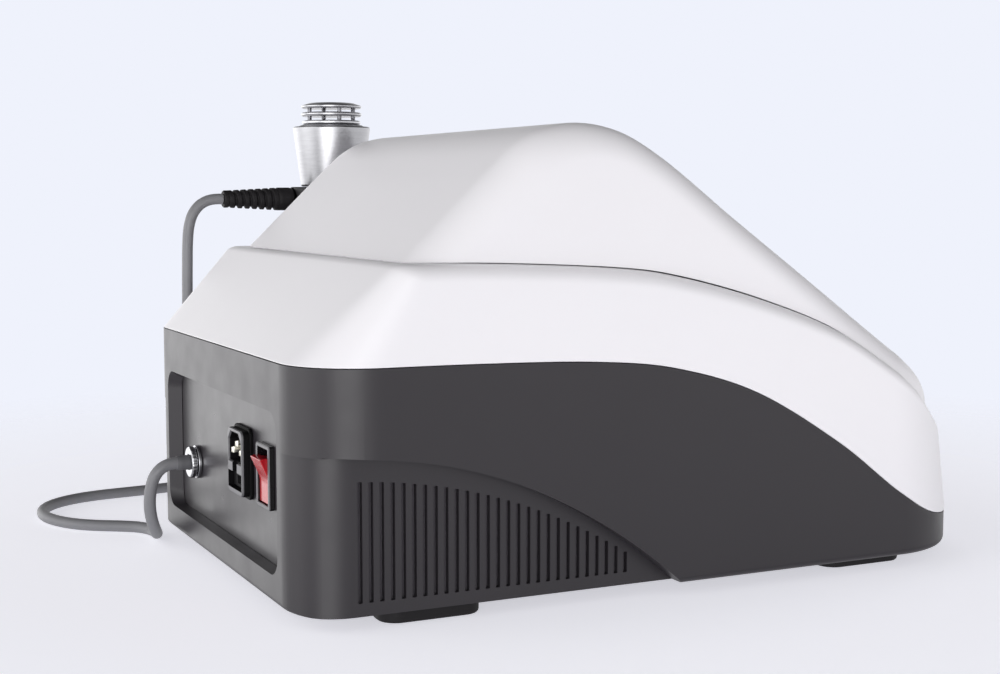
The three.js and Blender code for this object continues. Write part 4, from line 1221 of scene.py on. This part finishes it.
def make_crown():
    angles = [2 * math.pi * i / POST_COUNT for i in range(POST_COUNT)]
    holes = [(GRIP_X + POST_CIRCLE * math.cos(a), GRIP_Y + POST_CIRCLE * math.sin(a)) for a in angles]
    base = [(0, 254.9), (18.9, 254.9), (19.6, 255.6), (19.6, 256.8), (18.9, 257.5), (0, 257.5)]
    middle = [(0, 260.2), (19.4, 260.2), (20.4, 261.2), (20.4, 262), (19.4, 263), (0, 263)]
    cap = [(0, 265.6), (19.4, 265.6), (20.4, 266.5), (20.2, 267.5), (15, 269.2), (11, 269.5), (0, 269.5)]
    rings = (
        ("crown_base", "crown_base_ring", base),
        ("crown_middle", "crown_middle_ring", middle),
        ("crown_cap", "crown_top_disc", cap),
    )
    for name, node, profile in rings:
        disc = turned(eased(profile, 0.8, 4), spot, "z", 96)
        # the posts go through the two rings and end inside the cap
        high = profile[0][1] + 1.4 if profile is cap else profile[-1][1] + 1
        for x, y in holes:
            carve(disc, rod(POST_RADIUS + 0.25, profile[0][1] - 1, high, (x, y, 0)))
        keep(disc, name, "applicator", crown_metal, node, 50)
    r, waist = POST_RADIUS, POST_RADIUS - 0.15
    profile = [(0, 254.9), (r, 254.9), (r, 257.6), (waist, 257.9), (waist, 265.2), (r, 265.5), (r, 266.7)]
    profile.append((0, 266.7))
    for i, (x, y) in enumerate(holes, 1):
        post = turned(profile, (x, y, 0), "z", 28)
        keep(post, f"crown_pillar_{i}", "applicator", post_metal, f"crown_post_{i}", 50)


post_metal = plain_metal("post_metal", srgb(150, 150, 154), 0.28)


def make_strain_relief():
    """A tapered rubber sleeve with one groove wound round it."""
    start, groove_from, groove_to, end = 99.0, 108.6, 143.4, 146.0
    thick, thin, groove_depth = 7.6, 5.7, 1.5
    turns, segments = 7.0, 56
    ys = np.concatenate([
        np.linspace(start, groove_from, 6)[:-1], np.linspace(groove_from, groove_to, 150),
        np.linspace(groove_to, end, 5)[1:],
    ])
    a = np.arange(segments) * 2 * math.pi / segments

    def ring(r, y):
        return raised(np.column_stack([GRIP_X + r * np.cos(a), GRIP_OUTLET + r * np.sin(a)]), "y", y)

    rings = []
    for k, y in enumerate(ys):
        t = np.clip((y - groove_from) / (groove_to - groove_from), 0, 1)
        outer = thick + (thin - thick) * t
        phase = (t * turns + a / (2 * math.pi)) % 1.0
        depth = np.clip(1.35 - abs(phase - 0.5) * 5.2, 0, 1)
        fade = min(1.0, t * 12, (1 - t) * 12)
        r = outer - groove_depth * depth * fade
        if k in (0, len(ys) - 1):
            r = r - 0.5
        rings.append(ring(r, y))
    body = loft([ring(3.8, start), *rings, ring(3.6, end)])
    keep(body, "sleeve", "applicator", rubber, "strain_relief", 40)


def make_cup():
    floor = CUP_BOTTOM + CUP_FLOOR
    profile = [
        (0, CUP_BOTTOM), (CUP_RADIUS - 2, CUP_BOTTOM), (CUP_RADIUS, CUP_BOTTOM + 2),
        (CUP_RADIUS, CUP_TOP - 0.8), (CUP_RADIUS - 0.8, CUP_TOP), (CUP_BORE + 0.6, CUP_TOP),
        (CUP_BORE, CUP_TOP - 0.6), (CUP_BORE, floor + 1.5), (CUP_BORE - 1.5, floor), (0, floor),
    ]
    cup = turned(eased(profile, 0.9, 4), spot, "z", 128)
    wall_x = HALF_WIDTH + 0.3
    middle = (GRIP_Y, ARM_Z)
    plate = block(middle, (64, 40), 6, "x", ((wall_x, 0), (wall_x + 3, 0), (wall_x + 4, 1)), steps=8)
    levels = ((wall_x + 2, -2.5), (wall_x + 4, -2), (wall_x + 6, -0.4), (GRIP_X - CUP_BORE - 1, 0))
    join(cup, [plate, block(middle, (28, 32), 4, "x", levels, 0, 8)])
    carve(cup, rod(CUP_BORE, floor, 200, spot, "z", 128))
    bolt_spots = [(0, GRIP_Y + dy, ARM_Z) for dy in (-25, 25)]
    for bolt_spot in bolt_spots:
        carve(cup, rod(2.2, wall_x - 2, wall_x + 10, bolt_spot, "x"))
    keep(cup, "cup", "housing", grey_plastic, "applicator_holder", 40)
    head = [(r, wall_x + out) for r, out in ((0, 4.1), (3.6, 4.1), (3.6, 5.2), (2.6, 6.3), (0, 6.5))]
    for i, bolt_spot in enumerate(bolt_spots, 1):
        bolt = turned(eased(head, 0.4, 3), bolt_spot, "x", 40)
        carve(bolt, rod(1.5, wall_x + 4.9, wall_x + 9, bolt_spot, "x", 6))
        keep(bolt, f"cup_bolt_{i}", "housing", steel, f"holder_screw_{i}", 40)


# ---- feet, screws and screen ----
FOOT_SIZE = (24, 54)


def make_feet():
    sites = (
        ("rear_left", -118, 133), ("rear_right", 118, 133),
        ("front_right", 118, -132), ("front_left", -118, -132),
    )
    levels = ((0, 1.8), (0.25, 0.9), (0.9, 0.25), (1.8, 0), (7.4, 0), (7.7, 0.3))
    # a dished sole, so that the foot stands on its rim
    dish = ((-0.4, 4), (0.1, 4), (0.6, 4.8))
    for word, x, y in sites:
        body, sole = (block((x, y), FOOT_SIZE, 10, "z", heights, steps=12) for heights in (levels, dish))
        carve(body, sole)
        keep(body, f"foot_pad_{word}", "housing", rubber, f"foot_{word}", 30)


def make_screen():
    glass = slope_plate(GLASS_WIDTH, GLASS_HEIGHT, 6, -1.8, 0, 0.35)
    n = Nodes("screen_glass")
    ends = {0: n.coords, 1: tuple(place((0, SLOPE_Y, SLOPE_Z)))}
    shift = n.add("ShaderNodeVectorMath", ends, operation="SUBTRACT").outputs[0]
    turn = {"Vector": shift, "Angle": -SLOPE_ANGLE}
    flat = n.add("ShaderNodeVectorRotate", turn, rotation_type="X_AXIS")
    across, up, _ = n.add("ShaderNodeSeparateXYZ", {0: flat.outputs[0]}).outputs
    inside_x = n.math("LESS_THAN", n.math("ABSOLUTE", across), 0.1025)
    inside_y = n.math("LESS_THAN", n.math("ABSOLUTE", up), 0.0765)
    lit = n.math("MULTIPLY", inside_x, inside_y)
    cloud = n.blend(n.noise(30, 2), srgb(16, 18, 22), srgb(20, 22, 27))
    n.set(Base_Color=n.blend(lit, srgb(9, 9, 10), cloud), Roughness=n.between(n.noise(25, 3), 0.04, 0.09))
    n.set(Specular_IOR_Level=0.55, Coat_Weight=0.4, Coat_Roughness=0.03)
    keep(glass, "screen", "housing", n.material, "touch_glass", 30)


make_head()
make_crown()
make_strain_relief()
make_cup()
make_feet()
make_screen()


# ---- carried-over CAD pieces ----
def circuit_board(name):
    """Green laminate with copper tracks under the varnish and tinned pads."""
    n = Nodes(name)
    cells = {"Vector": n.coords, "Scale": 160.0}
    tracks = n.add("ShaderNodeTexVoronoi", cells, distance="MANHATTAN", feature="DISTANCE_TO_EDGE")
    line = n.math("LESS_THAN", tracks.outputs["Distance"], 0.06)
    pads = n.add("ShaderNodeTexVoronoi", {"Vector": n.coords, "Scale": 240.0, "Randomness": 0.35})
    pad = n.math("LESS_THAN", pads.outputs["Distance"], 0.2)
    varnish = n.blend(n.noise(12, 3), srgb(16, 74, 46), srgb(22, 88, 56))
    tone = n.blend(pad, n.blend(line, varnish, srgb(40, 118, 78)), srgb(188, 190, 186))
    height = n.math("ADD", n.math("MULTIPLY", line, 0.5), pad)
    n.set(Base_Color=tone, Metallic=pad, Roughness=n.between(n.noise(5, 3), 0.24, 0.38))
    n.set(Normal=n.bump(height, 0.03, 0.6))
    return n.material


def display_panel():
    """A dark glass face with a fine grid and a faint violet cast."""
    n = Nodes("display_panel")
    cells = {"Vector": n.coords, "Scale": 500.0, "Mortar Size": 0.03}
    grid = n.add("ShaderNodeTexBrick", cells, offset=0.0)
    tone = n.blend(grid.outputs["Fac"], srgb(17, 17, 22), srgb(9, 9, 11))
    n.set(Base_Color=n.blend(n.noise(40, 2), tone, srgb(20, 19, 27)))
    n.set(Roughness=n.between(n.noise(16, 3), 0.12, 0.2), Normal=n.bump(n.noise(45, 2), 0.02, 0.3))
    return n.material


INNER_FINISHES = {
    "display_module": display_panel(),
    "main_board": circuit_board("main_laminate"),
    "driver_board": circuit_board("driver_laminate"),
    "heatsink": plain_metal("extruded_aluminium", srgb(186, 188, 192), 0.38),
    "output_transformer": plastic("ferrite", srgb(52, 49, 50), 0.55, grain=0.4, depth=0.03, mottle=0.12),
    "power_supply": plain_metal("pressed_steel", srgb(172, 174, 178), 0.42),
    "fan_frame": plastic("fan_frame_plastic", srgb(27, 27, 29), 0.42, grain=0.8, depth=0.02),
    "fan_rotor": plastic("fan_rotor_plastic", srgb(20, 20, 22), 0.36, grain=0.6, depth=0.015),
    "socket_nut": plain_metal("nickel_nut", srgb(190, 188, 180), 0.26),
    "piezo_disc": plastic("fired_ceramic", srgb(214, 207, 190), 0.6, grain=0.3, depth=0.02, mottle=0.06),
}
INNER_FINISHES |= {f"base_screw_{i}": steel for i in range(1, 5)}
for name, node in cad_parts.items():
    node.data.materials.clear()
    white = name in ("mid_cover", "top_cover")
    node.data.materials.append(INNER_FINISHES.get(name, white_plastic if white else grey_plastic))

exit_point = tuple(place((SOCKET_X, 210.7, SOCKET_Z)))
[tuple(p) for p in place(cable_path)]

[[list(p) for p in box] for box in (cad_bounds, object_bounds())]
